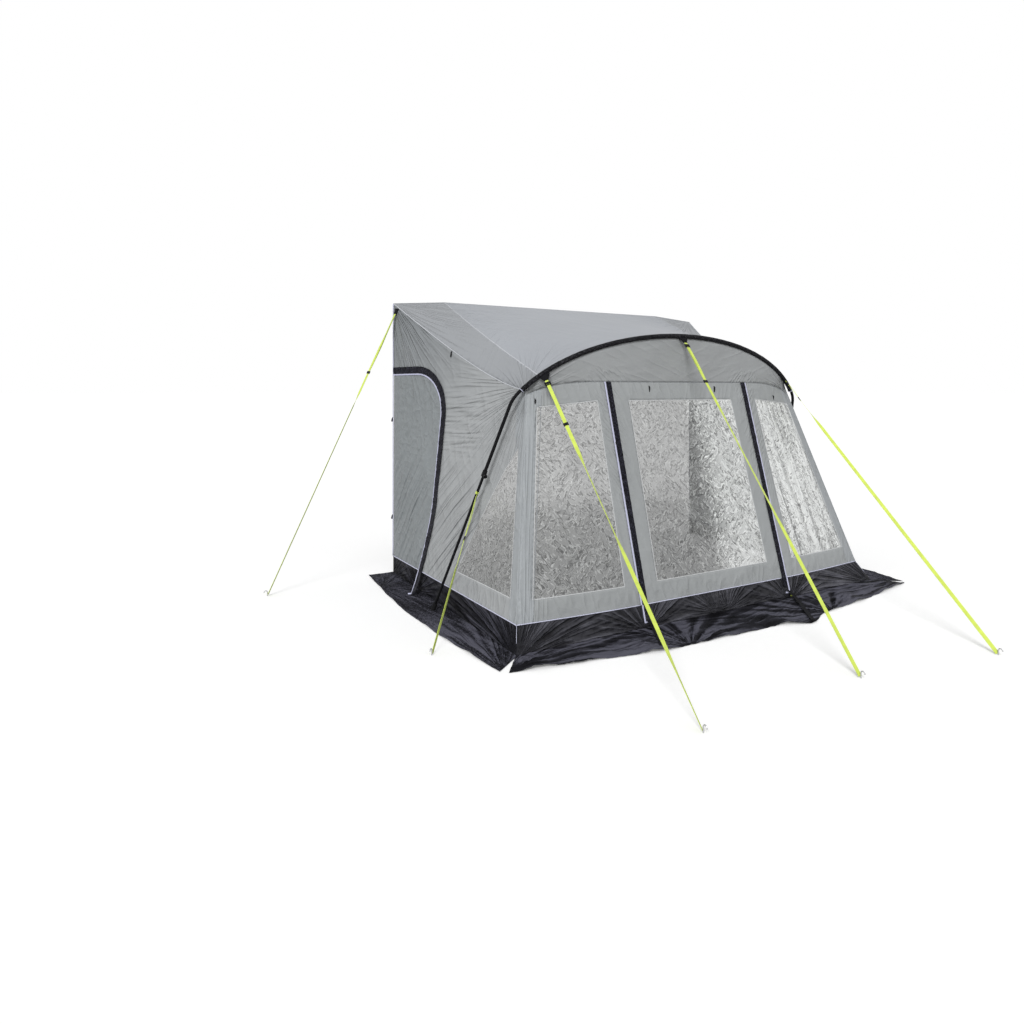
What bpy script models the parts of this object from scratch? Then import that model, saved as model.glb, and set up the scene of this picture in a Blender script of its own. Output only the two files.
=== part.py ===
"""Caravan porch awning with an arched front pole, zipped front panel, side doors and guy lines.

Frame: X runs along the caravan, Y points to the caravan (its side is near Y = 0), Z is up.
Left and right are as seen from the front. All sizes are metres.
"""

import math

import bmesh
import bpy
from mathutils import Matrix, Vector, geometry

# Cloth, seams and fits
CLOTH = 0.0012
GAP = 0.0003
VALLEY_INSET = 0.00045
CLOTH_STEP = 0.21
CLEAR_SHARE = 0.45

# Rail edge of the roof
RAIL_HEIGHT = 2.50
RAIL_HALF = 1.805
RAIL_CORNER_DROP = 0.04
BEAD_RADIUS = 0.0035
CARAVAN_Y = 0.012

# Ground plan
GROUND_FRONT_Y = -2.266
GROUND_CORNER_INSET = 0.025
GROUND_CORNER_X = RAIL_HALF - GROUND_CORNER_INSET
GROUND_CORNER_Y = -2.27
PIPING_Z = 0.15
PIPING_CORNER_INSET = 0.085
PIPING_CORNER_X = RAIL_HALF - PIPING_CORNER_INSET
PIPING_CORNER_Y = -2.165

# Front wall; its top corners stand off from the ends of the arch
FRONT_LEAN = 0.272
ZIP_X = 0.74
HEADER_Z = 1.73
HEADER_CORNER_Z = 1.63
ARCH_HALF = 1.592
TOP_CORNER_INSET = 0.207
TOP_CORNER_X = ARCH_HALF - TOP_CORNER_INSET
TOP_CORNER_Y = -1.705
TOP_CORNER_Z = 1.665
BOW_POWER = 1.6
HEADER_POWER = 3.0
SEAM_POWER = 1.37

# Roof
SHOULDER_INSET = 0.292
SHOULDER_X = ARCH_HALF - SHOULDER_INSET
ROOF_SAG = 0.018
SHOULDER_CROWN = 0.012

# Hoop: an arch and two straight legs, all in one plane that leans forward
HOOP_FOOT_Y = -1.187
HOOP_LEAN = 0.318
ARCH_RISE = 0.782
ARCH_BASE_Z = 1.32
SLEEVE_RADIUS = 0.022
SLEEVE_WALL = 0.0018
SLEEVE_END_INSET = 0.160
SLEEVE_END_X = ARCH_HALF - SLEEVE_END_INSET
SLEEVE_BEND_INSET = 0.225
SLEEVE_BEND_X = ARCH_HALF - SLEEVE_BEND_INSET
SHOULDER_CLEAR = 0.0018
POLE_LIFT = 0.0060
POLE_RADIUS = 0.0127
POLE_WALL = 0.0015
SPIGOT_RADIUS = 0.0105
SPIGOT_LENGTH = 0.060
SPIGOT_TAPER = 0.010
SPIGOT_START_INSET = 0.412
SPIGOT_START_X = ARCH_HALF - SPIGOT_START_INSET
CROWN_END_INSET = 0.352
CROWN_END_X = ARCH_HALF - CROWN_END_INSET
ARCH_BEND_INSET = 0.142
ARCH_BEND_X = ARCH_HALF - ARCH_BEND_INSET
BEND_END_INSET = 0.087
BEND_END_X = ARCH_HALF - BEND_END_INSET
BEND_END_Z = 1.56
LEG_STAND_OUT = 0.095
LEG_FOOT_X = RAIL_HALF + LEG_STAND_OUT
ELBOW_TAIL = 0.10
UPPER_LEG_END = 0.545
LOWER_LEG_START = 0.42
FOOT_SOLE = 0.008

# Clamp, knob and foot of a leg
CLAMP_RADIUS = 0.0185
CLAMP_LENGTH = 0.046
KNOB_RADIUS = 0.017
KNOB_DEPTH = 0.015
KNOB_STEM = 0.004
KNOB_COLLAR = 0.004
FERRULE_RADIUS = 0.017
FERRULE_LENGTH = 0.050

# Rafters between the arch and the caravan
RAFTER_X = 0.80
RAFTER_RADIUS = 0.011
RAFTER_INNER_RADIUS = 0.0088
RAFTER_DIP_DEG = 50.0
RAFTER_PAD_DROP = 0.085
RAFTER_SPLIT_SHARE = 0.62
RAFTER_INSERT = 0.20
PAD_SIZE = 0.062
PAD_THICK = 0.006
PAD_NECK_RADIUS = 0.012
PAD_NECK_LENGTH = 0.020

# Windows: heights and half widths
WINDOW_LOW_Z = 0.29
WINDOW_TOP_Z = 1.585
CENTRE_WINDOW_LOW_X = 0.565
CENTRE_WINDOW_TOP_X = 0.54
SIDE_WINDOW_IN_LOW_X = 0.865
SIDE_WINDOW_IN_TOP_X = 0.84
SIDE_WINDOW_LOW_MARGIN = 0.14
SIDE_WINDOW_OUT_LOW_X = PIPING_CORNER_X - SIDE_WINDOW_LOW_MARGIN
SIDE_WINDOW_TOP_MARGIN = 0.06
SIDE_WINDOW_OUT_TOP_X = TOP_CORNER_X - SIDE_WINDOW_TOP_MARGIN
SIDE_WINDOW_OUT_DROP = 0.045
WALL_WINDOW_REAR_Y = -1.26
WALL_WINDOW_FRONT_Y = -2.03
WALL_WINDOW_SHOULDER_Y = -1.66
WALL_WINDOW_SHOULDER_Z = 1.10
WALL_WINDOW_TOP_Y = -1.76
WALL_WINDOW_TOP_Z = 1.25

# Door in each side wall, hung on the rear edge
DOOR_TOP_Z = 1.815
DOOR_DEPTH = 0.755
DOOR_BOTTOM_DEPTH = 0.605
DOOR_STRAIGHT_LOW_Z = 0.80
DOOR_ROUND = 0.38
DOOR_HINGE_Y = -0.010

# Ground skirt
SKIRT_SIDE_WIDTH = 0.30
SKIRT_REAR_WIDTH = 0.23
SKIRT_FRONT_WIDTH = 0.42
SKIRT_FRONT_CORNER_WIDTH = 0.25
SKIRT_NOTCH_OUT = 0.035
SKIRT_NOTCH_X = GROUND_CORNER_X + SKIRT_NOTCH_OUT
SKIRT_NOTCH_Y = -2.305
SKIRT_CORNER_SPREAD = 0.15
SKIRT_SLIT = 0.02
SKIRT_STEP = 0.075
SKIRT_FOLD = 0.022
SKIRT_FOLD_WIDTH = 0.085

# Webbing guy lines, their runners and pegs
WEB_WIDTH = 0.025
WEB_THICK = 0.0018
WEB_TWIST_TURNS = 1.0
WEB_STEPS = 30
WEB_END_CLEAR = 0.012
GUY_TOP_INSET = 0.322
GUY_CENTRE_X = -0.02
GUY_LEFT_END_X = -1.45
GUY_LEFT_END_Y = -3.55
GUY_CENTRE_END_X = -0.19
GUY_CENTRE_END_Y = -3.52
GUY_RIGHT_END_X = 0.89
GUY_RIGHT_END_Y = -3.72
GUY_LEG_DISTANCE = 0.70
GUY_LEG_REACH = 0.34
GUY_LEG_END_Y = -2.00
GUY_REAR_Y = -0.05
GUY_REAR_DROP = 0.10
GUY_REAR_REACH = 1.135
GUY_REAR_END_Y = -0.21
GUY_REAR_CLEAR = 0.0025
RUNNER_LENGTH = 0.024
RUNNER_WIDTH = 0.036
RUNNER_THICK = 0.008
RUNNER_TRAVEL = 0.15
PEG_RADIUS = 0.004
PEG_STUB = 0.030
PEG_HOOK = 0.014

# Zip sliders
SLIDER_LENGTH = 0.022
SLIDER_WIDTH = 0.013
SLIDER_THICK = 0.006
PULL_LENGTH = 0.045
PULL_WIDTH = 0.009
PULL_THICK = 0.002
SLIDER_CLEAR = 0.0007
FRONT_SLIDER_Z = 1.27
DOOR_SLIDER_Z = 1.15

# Counts and shares used by the builders below
ARCH_STEPS = 22
SEAM_STEPS = 9
CUT_OVERRUN = 0.01
FINE = 1e-6

SIDES = {"left": -1.0, "right": 1.0}
PART_GROUP = "caravan_awning"
CUTTER_GROUP = "cutters"


def clear_scene():
    for old in list(bpy.data.objects):
        bpy.data.objects.remove(old, do_unlink=True)


def make_collection(name):
    group = bpy.data.collections.new(name)
    bpy.context.scene.collection.children.link(group)
    return group


# Colour, roughness and metallic value of each kind of surface
LOOKS = {
    "roof_cloth": ((0.42, 0.45, 0.50), 0.8, 0.0),
    "wall_cloth": ((0.22, 0.23, 0.25), 0.8, 0.0),
    "dark_cloth": ((0.03, 0.03, 0.035), 0.85, 0.0),
    "window_film": ((0.55, 0.60, 0.66), 0.15, 0.0),
    "black_tube": ((0.02, 0.02, 0.022), 0.35, 0.3),
    "black_plastic": ((0.015, 0.015, 0.017), 0.5, 0.0),
    "rubber_foot": ((0.02, 0.02, 0.02), 0.8, 0.0),
    "bead_strip": ((0.35, 0.37, 0.40), 0.6, 0.0),
    "zip_metal": ((0.5, 0.5, 0.55), 0.35, 1.0),
    "guy_webbing": ((0.55, 0.62, 0.12), 0.75, 0.0),
    "peg_steel": ((0.45, 0.45, 0.46), 0.4, 1.0),
}


def make_material(name, look):
    colour, roughness, metallic = LOOKS[look]
    material = bpy.data.materials.new(name)
    material.use_nodes = True
    shader = material.node_tree.nodes["Principled BSDF"]
    shader.inputs["Base Color"].default_value = (*colour, 1.0)
    shader.inputs["Roughness"].default_value = roughness
    shader.inputs["Metallic"].default_value = metallic
    return material


# Shape of the cloth: every panel is lifted from a flat outline onto these surfaces

def lerp(low, high, share):
    return low + (high - low) * share


def clamp(value):
    return max(0.0, min(1.0, value))


def hoop_y(z):
    return HOOP_FOOT_Y - HOOP_LEAN * z


def arch_z(x):
    return ARCH_BASE_Z + ARCH_RISE * math.sqrt(1.0 - (x / ARCH_HALF) ** 2)


def arch_slope(x):
    root = math.sqrt(1.0 - (x / ARCH_HALF) ** 2)
    return -ARCH_RISE * x / (ARCH_HALF ** 2 * root)


def pole_point(x):
    """Centre of the arch pole: the sleeve's line, lifted against the top of the sleeve."""
    slope = arch_slope(x)
    length = math.hypot(1.0, slope)
    z = arch_z(x) + POLE_LIFT / length
    return Vector((x - slope * POLE_LIFT / length, hoop_y(z), z))


def sleeve_point(x):
    return Vector((x, hoop_y(arch_z(x)), arch_z(x)))


def base_x(y):
    """Half width of the side walls along the piping line."""
    return lerp(RAIL_HALF, PIPING_CORNER_X, y / PIPING_CORNER_Y)


WALL_LEAN = (base_x(TOP_CORNER_Y) - TOP_CORNER_X) / (TOP_CORNER_Z - PIPING_Z)


def wall_x(y, z):
    lean = WALL_LEAN * min(1.0, max(0.0, y / TOP_CORNER_Y))
    return base_x(y) - lean * (z - PIPING_Z)


def ground_x(y):
    return lerp(RAIL_HALF, GROUND_CORNER_X, y / GROUND_CORNER_Y)


def mud_x(y, z):
    return lerp(ground_x(y), base_x(y), z / PIPING_Z)


def corner_y(z):
    if z < PIPING_Z:
        return lerp(GROUND_CORNER_Y, PIPING_CORNER_Y, z / PIPING_Z)
    return lerp(PIPING_CORNER_Y, TOP_CORNER_Y, (z - PIPING_Z) / (TOP_CORNER_Z - PIPING_Z))


def corner_x(z):
    if z < PIPING_Z:
        return lerp(GROUND_CORNER_X, PIPING_CORNER_X, z / PIPING_Z)
    return wall_x(corner_y(z), z)


def centre_y(z):
    return GROUND_FRONT_Y + FRONT_LEAN * z


def front_y(x, z):
    bow = clamp((abs(x) - ZIP_X) / (corner_x(z) - ZIP_X)) ** BOW_POWER
    return lerp(centre_y(z), corner_y(z), bow)


def header_z(x):
    run = clamp((abs(x) - ZIP_X) / (corner_x(HEADER_CORNER_Z) - ZIP_X))
    return lerp(HEADER_Z, HEADER_CORNER_Z, run ** HEADER_POWER)


def header_y(x, z):
    low = header_z(x)
    plain = lerp(front_y(x, low), hoop_y(arch_z(x)), (z - low) / (arch_z(x) - low))
    corner = clamp((abs(x) - SHOULDER_X) / (corner_x(z) - SHOULDER_X))
    return lerp(plain, corner_y(z), corner)


def sleeve_clear():
    return SLEEVE_RADIUS + GAP


def header_top_z(x):
    """Top edge of the header panel: it stops at the sleeve, and past it runs to the wall corner."""
    if abs(x) <= SHOULDER_X:
        return arch_z(x) - sleeve_clear() * math.hypot(1.0, arch_slope(x))
    run = (abs(x) - SHOULDER_X) / (TOP_CORNER_X - SHOULDER_X)
    return lerp(header_top_z(SHOULDER_X), TOP_CORNER_Z, run)


def side_seam_z(y):
    run = clamp(1.0 - y / TOP_CORNER_Y) ** SEAM_POWER
    return lerp(TOP_CORNER_Z, RAIL_HEIGHT - RAIL_CORNER_DROP, run)


def side_seam_x(y):
    return wall_x(y, side_seam_z(y))


def roof_z(x, y):
    inner = min(abs(x), SHOULDER_X)
    run = y / hoop_y(arch_z(inner))
    plain = lerp(RAIL_HEIGHT, arch_z(inner), run) - ROOF_SAG * 4.0 * run * (1.0 - run)
    if abs(x) <= SHOULDER_X:
        return plain
    out = (abs(x) - SHOULDER_X) / (side_seam_x(y) - SHOULDER_X)
    crown = SHOULDER_CROWN * 4.0 * out * (1.0 - out) * 4.0 * run * (1.0 - run)
    return lerp(plain, side_seam_z(y), out) + crown


def roof_front_y(x):
    """Front edge of the roof, one sleeve radius short of the arch line and a little more at its ends."""
    end = hoop_y(arch_z(x))
    length = math.hypot(end, RAIL_HEIGHT - arch_z(x))
    near_end = clamp((abs(x) - CROWN_END_X) / (SHOULDER_X - CROWN_END_X))
    return end * (1.0 - (sleeve_clear() + SHOULDER_CLEAR * near_end) / length)


# Flat outlines and the cloth builder

def span(low, high, steps):
    return [lerp(low, high, step / steps) for step in range(steps + 1)]


def loop_area(loop):
    total = 0.0
    for (ax, ay), (bx, by) in zip(loop, loop[1:] + loop[:1]):
        total += ax * by - bx * ay
    return total / 2.0


def inset_loop(loop, distance):
    """Move a closed outline inward by a distance, with mitred corners."""
    if loop_area(loop) < 0.0:
        loop = loop[::-1]
    moved = []
    count = len(loop)
    for index in range(count):
        before = Vector(loop[index - 1])
        here = Vector(loop[index])
        after = Vector(loop[(index + 1) % count])
        first = (here - before).normalized()
        second = (after - here).normalized()
        first_normal = Vector((-first.y, first.x))
        second_normal = Vector((-second.y, second.x))
        mitre = (first_normal + second_normal) / (1.0 + first_normal.dot(second_normal))
        moved.append(here + mitre * distance)
    return moved


def inside(point, loop):
    hit = False
    for a, b in zip(loop, loop[1:] + loop[:1]):
        if (a[1] > point[1]) != (b[1] > point[1]):
            cross = a[0] + (point[1] - a[1]) / (b[1] - a[1]) * (b[0] - a[0])
            if point[0] < cross:
                hit = not hit
    return hit


def loop_distance(point, loop):
    best = None
    for a, b in zip(loop, loop[1:] + loop[:1]):
        side = Vector(b) - Vector(a)
        share = clamp((Vector(point) - Vector(a)).dot(side) / side.length_squared)
        away = (Vector(a) + side * share - Vector(point)).length
        best = away if best is None else min(best, away)
    return best


def flat_mesh(loops, step):
    """Triangles that fill the first loop, leave out the others and hold a grid of inner points."""
    points = []
    edges = []
    for loop in loops:
        first = len(points)
        points += [Vector(point) for point in loop]
        edges += [(first + at, first + (at + 1) % len(loop)) for at in range(len(loop))]
    low_a = min(point.x for point in points)
    high_a = max(point.x for point in points)
    low_b = min(point.y for point in points)
    high_b = max(point.y for point in points)
    columns = max(2, round((high_a - low_a) / step))
    rows = max(2, round((high_b - low_b) / step))
    inner = []
    for row in range(1, rows):
        for column in range(1, columns):
            spot = Vector((lerp(low_a, high_a, column / columns), lerp(low_b, high_b, row / rows)))
            if not inside(spot, loops[0]) or any(inside(spot, hole) for hole in loops[1:]):
                continue
            if min(loop_distance(spot, loop) for loop in loops) > step * CLEAR_SHARE:
                inner.append(spot)
    result = geometry.delaunay_2d_cdt(points + inner, edges, [], 0, FINE * GAP)
    corners = result[0]
    faces = []
    for face in result[2]:
        if abs(loop_area([tuple(corners[at]) for at in face])) < GAP * GAP:
            continue
        middle = sum((corners[at] for at in face), Vector((0.0, 0.0))) / len(face)
        if inside(middle, loops[0]) and not any(inside(middle, hole) for hole in loops[1:]):
            faces.append(face)
    return corners, faces


def add_object(name, mesh, group, look):
    """An object with a material of its own."""
    piece = bpy.data.objects.new(name, mesh)
    group.objects.link(piece)
    mesh.materials.clear()
    mesh.materials.append(make_material(name, look))
    return piece


def cloth(name, outline, lift, outward, group, look, holes=(), inset=GAP / 2.0, step=CLOTH_STEP):
    """A cloth panel: a filled outline lifted onto its surface and thickened outward."""
    loops = [inset_loop(outline, inset)]
    loops += [inset_loop(hole, -inset) for hole in holes]
    corners, faces = flat_mesh(loops, step)
    sheet = bmesh.new()
    verts = [sheet.verts.new(lift(corner.x, corner.y)) for corner in corners]
    for face in faces:
        sheet.faces.new([verts[at] for at in face])
    loose = [vert for vert in sheet.verts if not vert.link_faces]
    bmesh.ops.delete(sheet, geom=loose, context="VERTS")
    bmesh.ops.recalc_face_normals(sheet, faces=sheet.faces)
    total = sum((face.normal * face.calc_area() for face in sheet.faces), Vector())
    if total.dot(Vector(outward)) < 0.0:
        bmesh.ops.reverse_faces(sheet, faces=sheet.faces)
    mesh = bpy.data.meshes.new(name)
    sheet.to_mesh(mesh)
    sheet.free()
    mesh.shade_smooth()
    piece = add_object(name, mesh, group, look)
    shell = piece.modifiers.new("thickness", "SOLIDIFY")
    shell.thickness = CLOTH
    shell.offset = 1.0
    shell.use_even_offset = True
    return piece


# Builders for poles and small hard pieces

def add_curve(name, points, radius, caps, resolution, radii=None):
    curve = bpy.data.curves.new(name, "CURVE")
    curve.dimensions = "3D"
    curve.bevel_depth = radius
    curve.bevel_resolution = resolution
    curve.use_fill_caps = caps
    spline = curve.splines.new("POLY")
    spline.points.add(len(points) - 1)
    for index, (node, point) in enumerate(zip(spline.points, points)):
        node.co = (*point, 1.0)
        node.radius = radii[index] if radii else 1.0
    piece = bpy.data.objects.new(name, curve)
    bpy.context.scene.collection.objects.link(piece)
    return piece


def welded_mesh(path, name):
    """The mesh of a curve object, with its caps welded on; the curve goes."""
    graph = bpy.context.evaluated_depsgraph_get()
    mesh = bpy.data.meshes.new_from_object(path.evaluated_get(graph))
    mesh.name = name
    rings = bmesh.new()
    rings.from_mesh(mesh)
    bmesh.ops.remove_doubles(rings, verts=rings.verts, dist=GAP * CLEAR_SHARE)
    bmesh.ops.recalc_face_normals(rings, faces=rings.faces)
    rings.to_mesh(mesh)
    rings.free()
    bpy.data.objects.remove(path, do_unlink=True)
    mesh.shade_smooth()
    return mesh


def rod(name, points, radius, group, look, resolution=2):
    path = add_curve(name + "_path", points, radius, True, resolution)
    return add_object(name, welded_mesh(path, name), group, look)


def tube(name, points, radius, wall, group, look, resolution=4, radii=None):
    """A hollow tube with open ends."""
    path = add_curve(name + "_path", points, radius, False, resolution, radii)
    piece = add_object(name, welded_mesh(path, name), group, look)
    shell = piece.modifiers.new("wall", "SOLIDIFY")
    shell.thickness = wall
    shell.offset = -1.0
    shell.use_even_offset = True
    return piece


def axis_matrix(origin, along, across):
    """A frame at origin with its X axis along one direction and its Y axis near another."""
    first = Vector(along).normalized()
    third = first.cross(Vector(across)).normalized()
    second = third.cross(first)
    turn = Matrix((first, second, third)).transposed()
    return Matrix.Translation(origin) @ turn.to_4x4()


def box_mesh(name, size):
    block = bmesh.new()
    bmesh.ops.create_cube(block, size=1.0)
    bmesh.ops.scale(block, vec=Vector(size), verts=block.verts)
    mesh = bpy.data.meshes.new(name)
    block.to_mesh(mesh)
    block.free()
    return mesh


def turned(name, profile, group, look, steps=20):
    """A body turned round its Z axis; the profile runs down its outer side."""
    outline = bmesh.new()
    closed = profile[0] == profile[-1]
    spots = profile[:-1] if closed else profile
    points = [outline.verts.new((radius, 0.0, height)) for radius, height in spots]
    points += points[:1] if closed else []
    for start, end in zip(points, points[1:]):
        outline.edges.new((start, end))
    mesh = bpy.data.meshes.new(name)
    outline.to_mesh(mesh)
    outline.free()
    piece = add_object(name, mesh, group, look)
    screw = piece.modifiers.new("turn", "SCREW")
    screw.steps = steps
    screw.render_steps = steps
    screw.use_merge_vertices = True
    screw.merge_threshold = GAP * CLEAR_SHARE * CLEAR_SHARE
    screw.use_smooth_shade = False
    return piece


def bake(piece):
    """Turn an object's modifiers into plain mesh, keeping its place."""
    graph = bpy.context.evaluated_depsgraph_get()
    mesh = bpy.data.meshes.new_from_object(piece.evaluated_get(graph))
    piece.modifiers.clear()
    piece.data = mesh
    return piece


def combine(piece, other, operation):
    """Cut a cutter out of a piece, or join it on, and take the cutter away."""
    change = piece.modifiers.new(operation.lower(), "BOOLEAN")
    change.operation = operation
    change.object = other
    change.solver = "EXACT"
    bpy.context.view_layer.update()
    bake(piece)
    bpy.data.objects.remove(other, do_unlink=True)
    return piece


def add_cutter(name, mesh, matrix):
    cutter = bpy.data.objects.new(name, mesh)
    bpy.data.collections[CUTTER_GROUP].objects.link(cutter)
    cutter.matrix_world = matrix
    cutter.hide_render = True
    cutter.display_type = "WIRE"
    return cutter


def cutter_box(name, size, matrix):
    return add_cutter(name, box_mesh(name, size), matrix)


def cutter_rod(name, points, radius, resolution):
    path = add_curve(name + "_path", points, radius, True, resolution)
    return add_cutter(name, welded_mesh(path, name), Matrix())


# Roof, walls and ground skirt

def roof(group):
    rear = -(BEAD_RADIUS + GAP)
    line = arch_xs(SHOULDER_X)
    seam_rows = span(rear, roof_front_y(SHOULDER_X), SEAM_STEPS)
    outline = [(x, roof_front_y(x)) for x in line]
    outline += [(SHOULDER_X, y) for y in seam_rows[-2:0:-1]]
    outline += [(x, rear) for x in span(SHOULDER_X, -SHOULDER_X, SEAM_STEPS)]
    outline += [(-SHOULDER_X, y) for y in seam_rows[1:-1]]
    cloth("roof_panel", outline, lambda x, y: (x, y, roof_z(x, y)), (0.0, 0.0, 1.0),
          group, "roof_cloth")
    for word, sign in SIDES.items():
        side_rows = span(rear, TOP_CORNER_Y, SEAM_STEPS)
        outline = [(SHOULDER_X, y) for y in seam_rows]
        outline += [(side_seam_x(y), y) for y in side_rows[::-1]]
        cloth("roof_shoulder_" + word, outline, lambda x, y: (sign * x, y, roof_z(x, y)),
              (sign, 0.0, 1.0), group, "roof_cloth")


def window_loops():
    centre = [(-CENTRE_WINDOW_LOW_X, WINDOW_LOW_Z), (CENTRE_WINDOW_LOW_X, WINDOW_LOW_Z),
              (CENTRE_WINDOW_TOP_X, WINDOW_TOP_Z), (-CENTRE_WINDOW_TOP_X, WINDOW_TOP_Z)]
    side = [(SIDE_WINDOW_IN_LOW_X, WINDOW_LOW_Z), (SIDE_WINDOW_OUT_LOW_X, WINDOW_LOW_Z),
            (SIDE_WINDOW_OUT_TOP_X, WINDOW_TOP_Z - SIDE_WINDOW_OUT_DROP),
            (SIDE_WINDOW_IN_TOP_X, WINDOW_TOP_Z)]
    wall = [(WALL_WINDOW_REAR_Y, WINDOW_LOW_Z), (WALL_WINDOW_FRONT_Y, WINDOW_LOW_Z),
            (WALL_WINDOW_TOP_Y, WALL_WINDOW_TOP_Z), (WALL_WINDOW_SHOULDER_Y, WALL_WINDOW_SHOULDER_Z)]
    return centre, side, wall


def cut_up(loop, step):
    """Add points along a loop's straight sides, so that it follows a curved surface."""
    dense = []
    for a, b in zip(loop, loop[1:] + loop[:1]):
        pieces = max(1, round(math.dist(a, b) / step))
        dense += [(lerp(a[0], b[0], at / pieces), lerp(a[1], b[1], at / pieces)) for at in range(pieces)]
    return dense


def front_wall(group):
    centre_window, side_window, _ = window_loops()
    centre_window = cut_up(centre_window, CLOTH_STEP)
    side_window = cut_up(side_window, CLOTH_STEP)
    header_line = span(ZIP_X, corner_x(HEADER_CORNER_Z), SEAM_STEPS // 2)
    zip_rows = span(PIPING_Z, HEADER_Z, SEAM_STEPS)
    centre = [(x, PIPING_Z) for x in span(-ZIP_X, ZIP_X, SEAM_STEPS)]
    centre += [(ZIP_X, z) for z in zip_rows[1:]]
    centre += [(x, HEADER_Z) for x in span(ZIP_X, -ZIP_X, SEAM_STEPS)[1:]]
    centre += [(-ZIP_X, z) for z in zip_rows[-2:0:-1]]
    cloth("centre_panel", centre, lambda x, z: (x, front_y(x, z), z), (0.0, -1.0, 0.0), group,
          "wall_cloth", holes=[centre_window], inset=VALLEY_INSET)
    cloth("centre_window", centre_window, lambda x, z: (x, front_y(x, z), z), (0.0, -1.0, 0.0), group,
          "window_film", inset=GAP - VALLEY_INSET)
    for word, sign in SIDES.items():
        def lift(x, z):
            return (sign * x, front_y(x, z), z)
        outline = [(x, PIPING_Z) for x in piping_line()]
        outline += [(corner_x(z), z) for z in span(PIPING_Z, HEADER_CORNER_Z, SEAM_STEPS)[1:]]
        outline += [(x, header_z(x)) for x in header_line[-2::-1]]
        outline += [(ZIP_X, z) for z in zip_rows[-2:0:-1]]
        cloth("front_panel_" + word, outline, lift, (0.0, -1.0, 0.0), group, "wall_cloth",
              holes=[side_window], inset=VALLEY_INSET)
        cloth("front_window_" + word, side_window, lift, (0.0, -1.0, 0.0), group,
              "window_film", inset=GAP - VALLEY_INSET)
    right = [(x, header_z(x)) for x in header_line[1:]]
    left = [(-x, z) for x, z in right[::-1]]
    outline = left + [(x, HEADER_Z) for x in span(-ZIP_X, ZIP_X, SEAM_STEPS)] + right
    top = [(TOP_CORNER_X, TOP_CORNER_Z)]
    top += [(x, header_top_z(x)) for x in arch_xs(SHOULDER_X)[::-1]]
    top += [(-TOP_CORNER_X, TOP_CORNER_Z)]
    cloth("header_panel", outline + top, lambda x, z: (x, header_y(x, z), z), (0.0, -1.0, 0.0),
          group, "wall_cloth", inset=VALLEY_INSET)


def piping_line():
    return span(ZIP_X, PIPING_CORNER_X, SEAM_STEPS // 2)


def door_edge():
    """The zip line of a door as (y, z), from the piping up to the door's top and back to its hinge."""
    low = [(-lerp(DOOR_BOTTOM_DEPTH, DOOR_DEPTH, math.sin(share * math.pi / 2.0)), z)
           for share, z in zip(span(0.0, 1.0, 5), span(PIPING_Z, DOOR_STRAIGHT_LOW_Z, 5))]
    middle_z = DOOR_TOP_Z - DOOR_ROUND
    straight = [(-DOOR_DEPTH, z) for z in span(DOOR_STRAIGHT_LOW_Z, middle_z, 3)[1:]]
    arc = []
    for turn in span(0.0, math.pi / 2.0, 5)[1:]:
        depth = DOOR_DEPTH - DOOR_ROUND * (1.0 - math.cos(turn))
        arc.append((-depth, middle_z + DOOR_ROUND * math.sin(turn)))
    top = [(y, DOOR_TOP_Z) for y in span(DOOR_ROUND - DOOR_DEPTH, DOOR_HINGE_Y, 3)[1:]]
    return low + straight + arc + top


def side_walls(group):
    _, _, window = window_loops()
    window = cut_up(window, CLOTH_STEP)
    edge = door_edge()
    rear = -(BEAD_RADIUS + GAP)
    for word, sign in SIDES.items():
        def lift(y, z):
            return (sign * wall_x(y, z), y, z)
        outward = (sign, 0.0, 0.0)
        outline = [(y, side_seam_z(y)) for y in span(rear, TOP_CORNER_Y, SEAM_STEPS)]
        outline += [(corner_y(HEADER_CORNER_Z), HEADER_CORNER_Z)]
        outline += [(corner_y(z), z) for z in span(HEADER_CORNER_Z, PIPING_Z, SEAM_STEPS)[1:]]
        outline += [(y, PIPING_Z) for y in span(PIPING_CORNER_Y, -DOOR_BOTTOM_DEPTH, SEAM_STEPS)[1:-1]]
        outline += edge[:-1] + [(rear, DOOR_TOP_Z)]
        cloth("side_wall_" + word, outline, lift, outward, group, "wall_cloth", holes=[window])
        cloth("side_window_" + word, window, lift, outward, group, "window_film")
        door = edge + [(DOOR_HINGE_Y, z) for z in span(DOOR_TOP_Z, PIPING_Z, SEAM_STEPS)[1:]]
        cloth("door_" + word, door, lift, outward, group, "wall_cloth")


def mud_walls(group):
    half = piping_line()
    centre = span(-ZIP_X, ZIP_X, SEAM_STEPS)
    top = [(-x, PIPING_Z) for x in half[:0:-1]] + [(x, PIPING_Z) for x in centre]
    top += [(x, PIPING_Z) for x in half[1:]]
    low = [(x, 0.0) for x in span(GROUND_CORNER_X, -GROUND_CORNER_X, 2 * SEAM_STEPS)]
    cloth("mud_wall_front", top + low, lambda x, z: (x, front_y(x, z), z), (0.0, -1.0, 0.0), group,
          "dark_cloth", inset=VALLEY_INSET)
    for word, sign in SIDES.items():
        outline = [(0.0, PIPING_Z), (PIPING_CORNER_Y, PIPING_Z), (GROUND_CORNER_Y, 0.0), (0.0, 0.0)]
        cloth("mud_wall_" + word, outline, lambda y, z: (sign * mud_x(y, z), y, z), (sign, 0.0, 0.0),
              group, "dark_cloth", inset=VALLEY_INSET)


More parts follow.
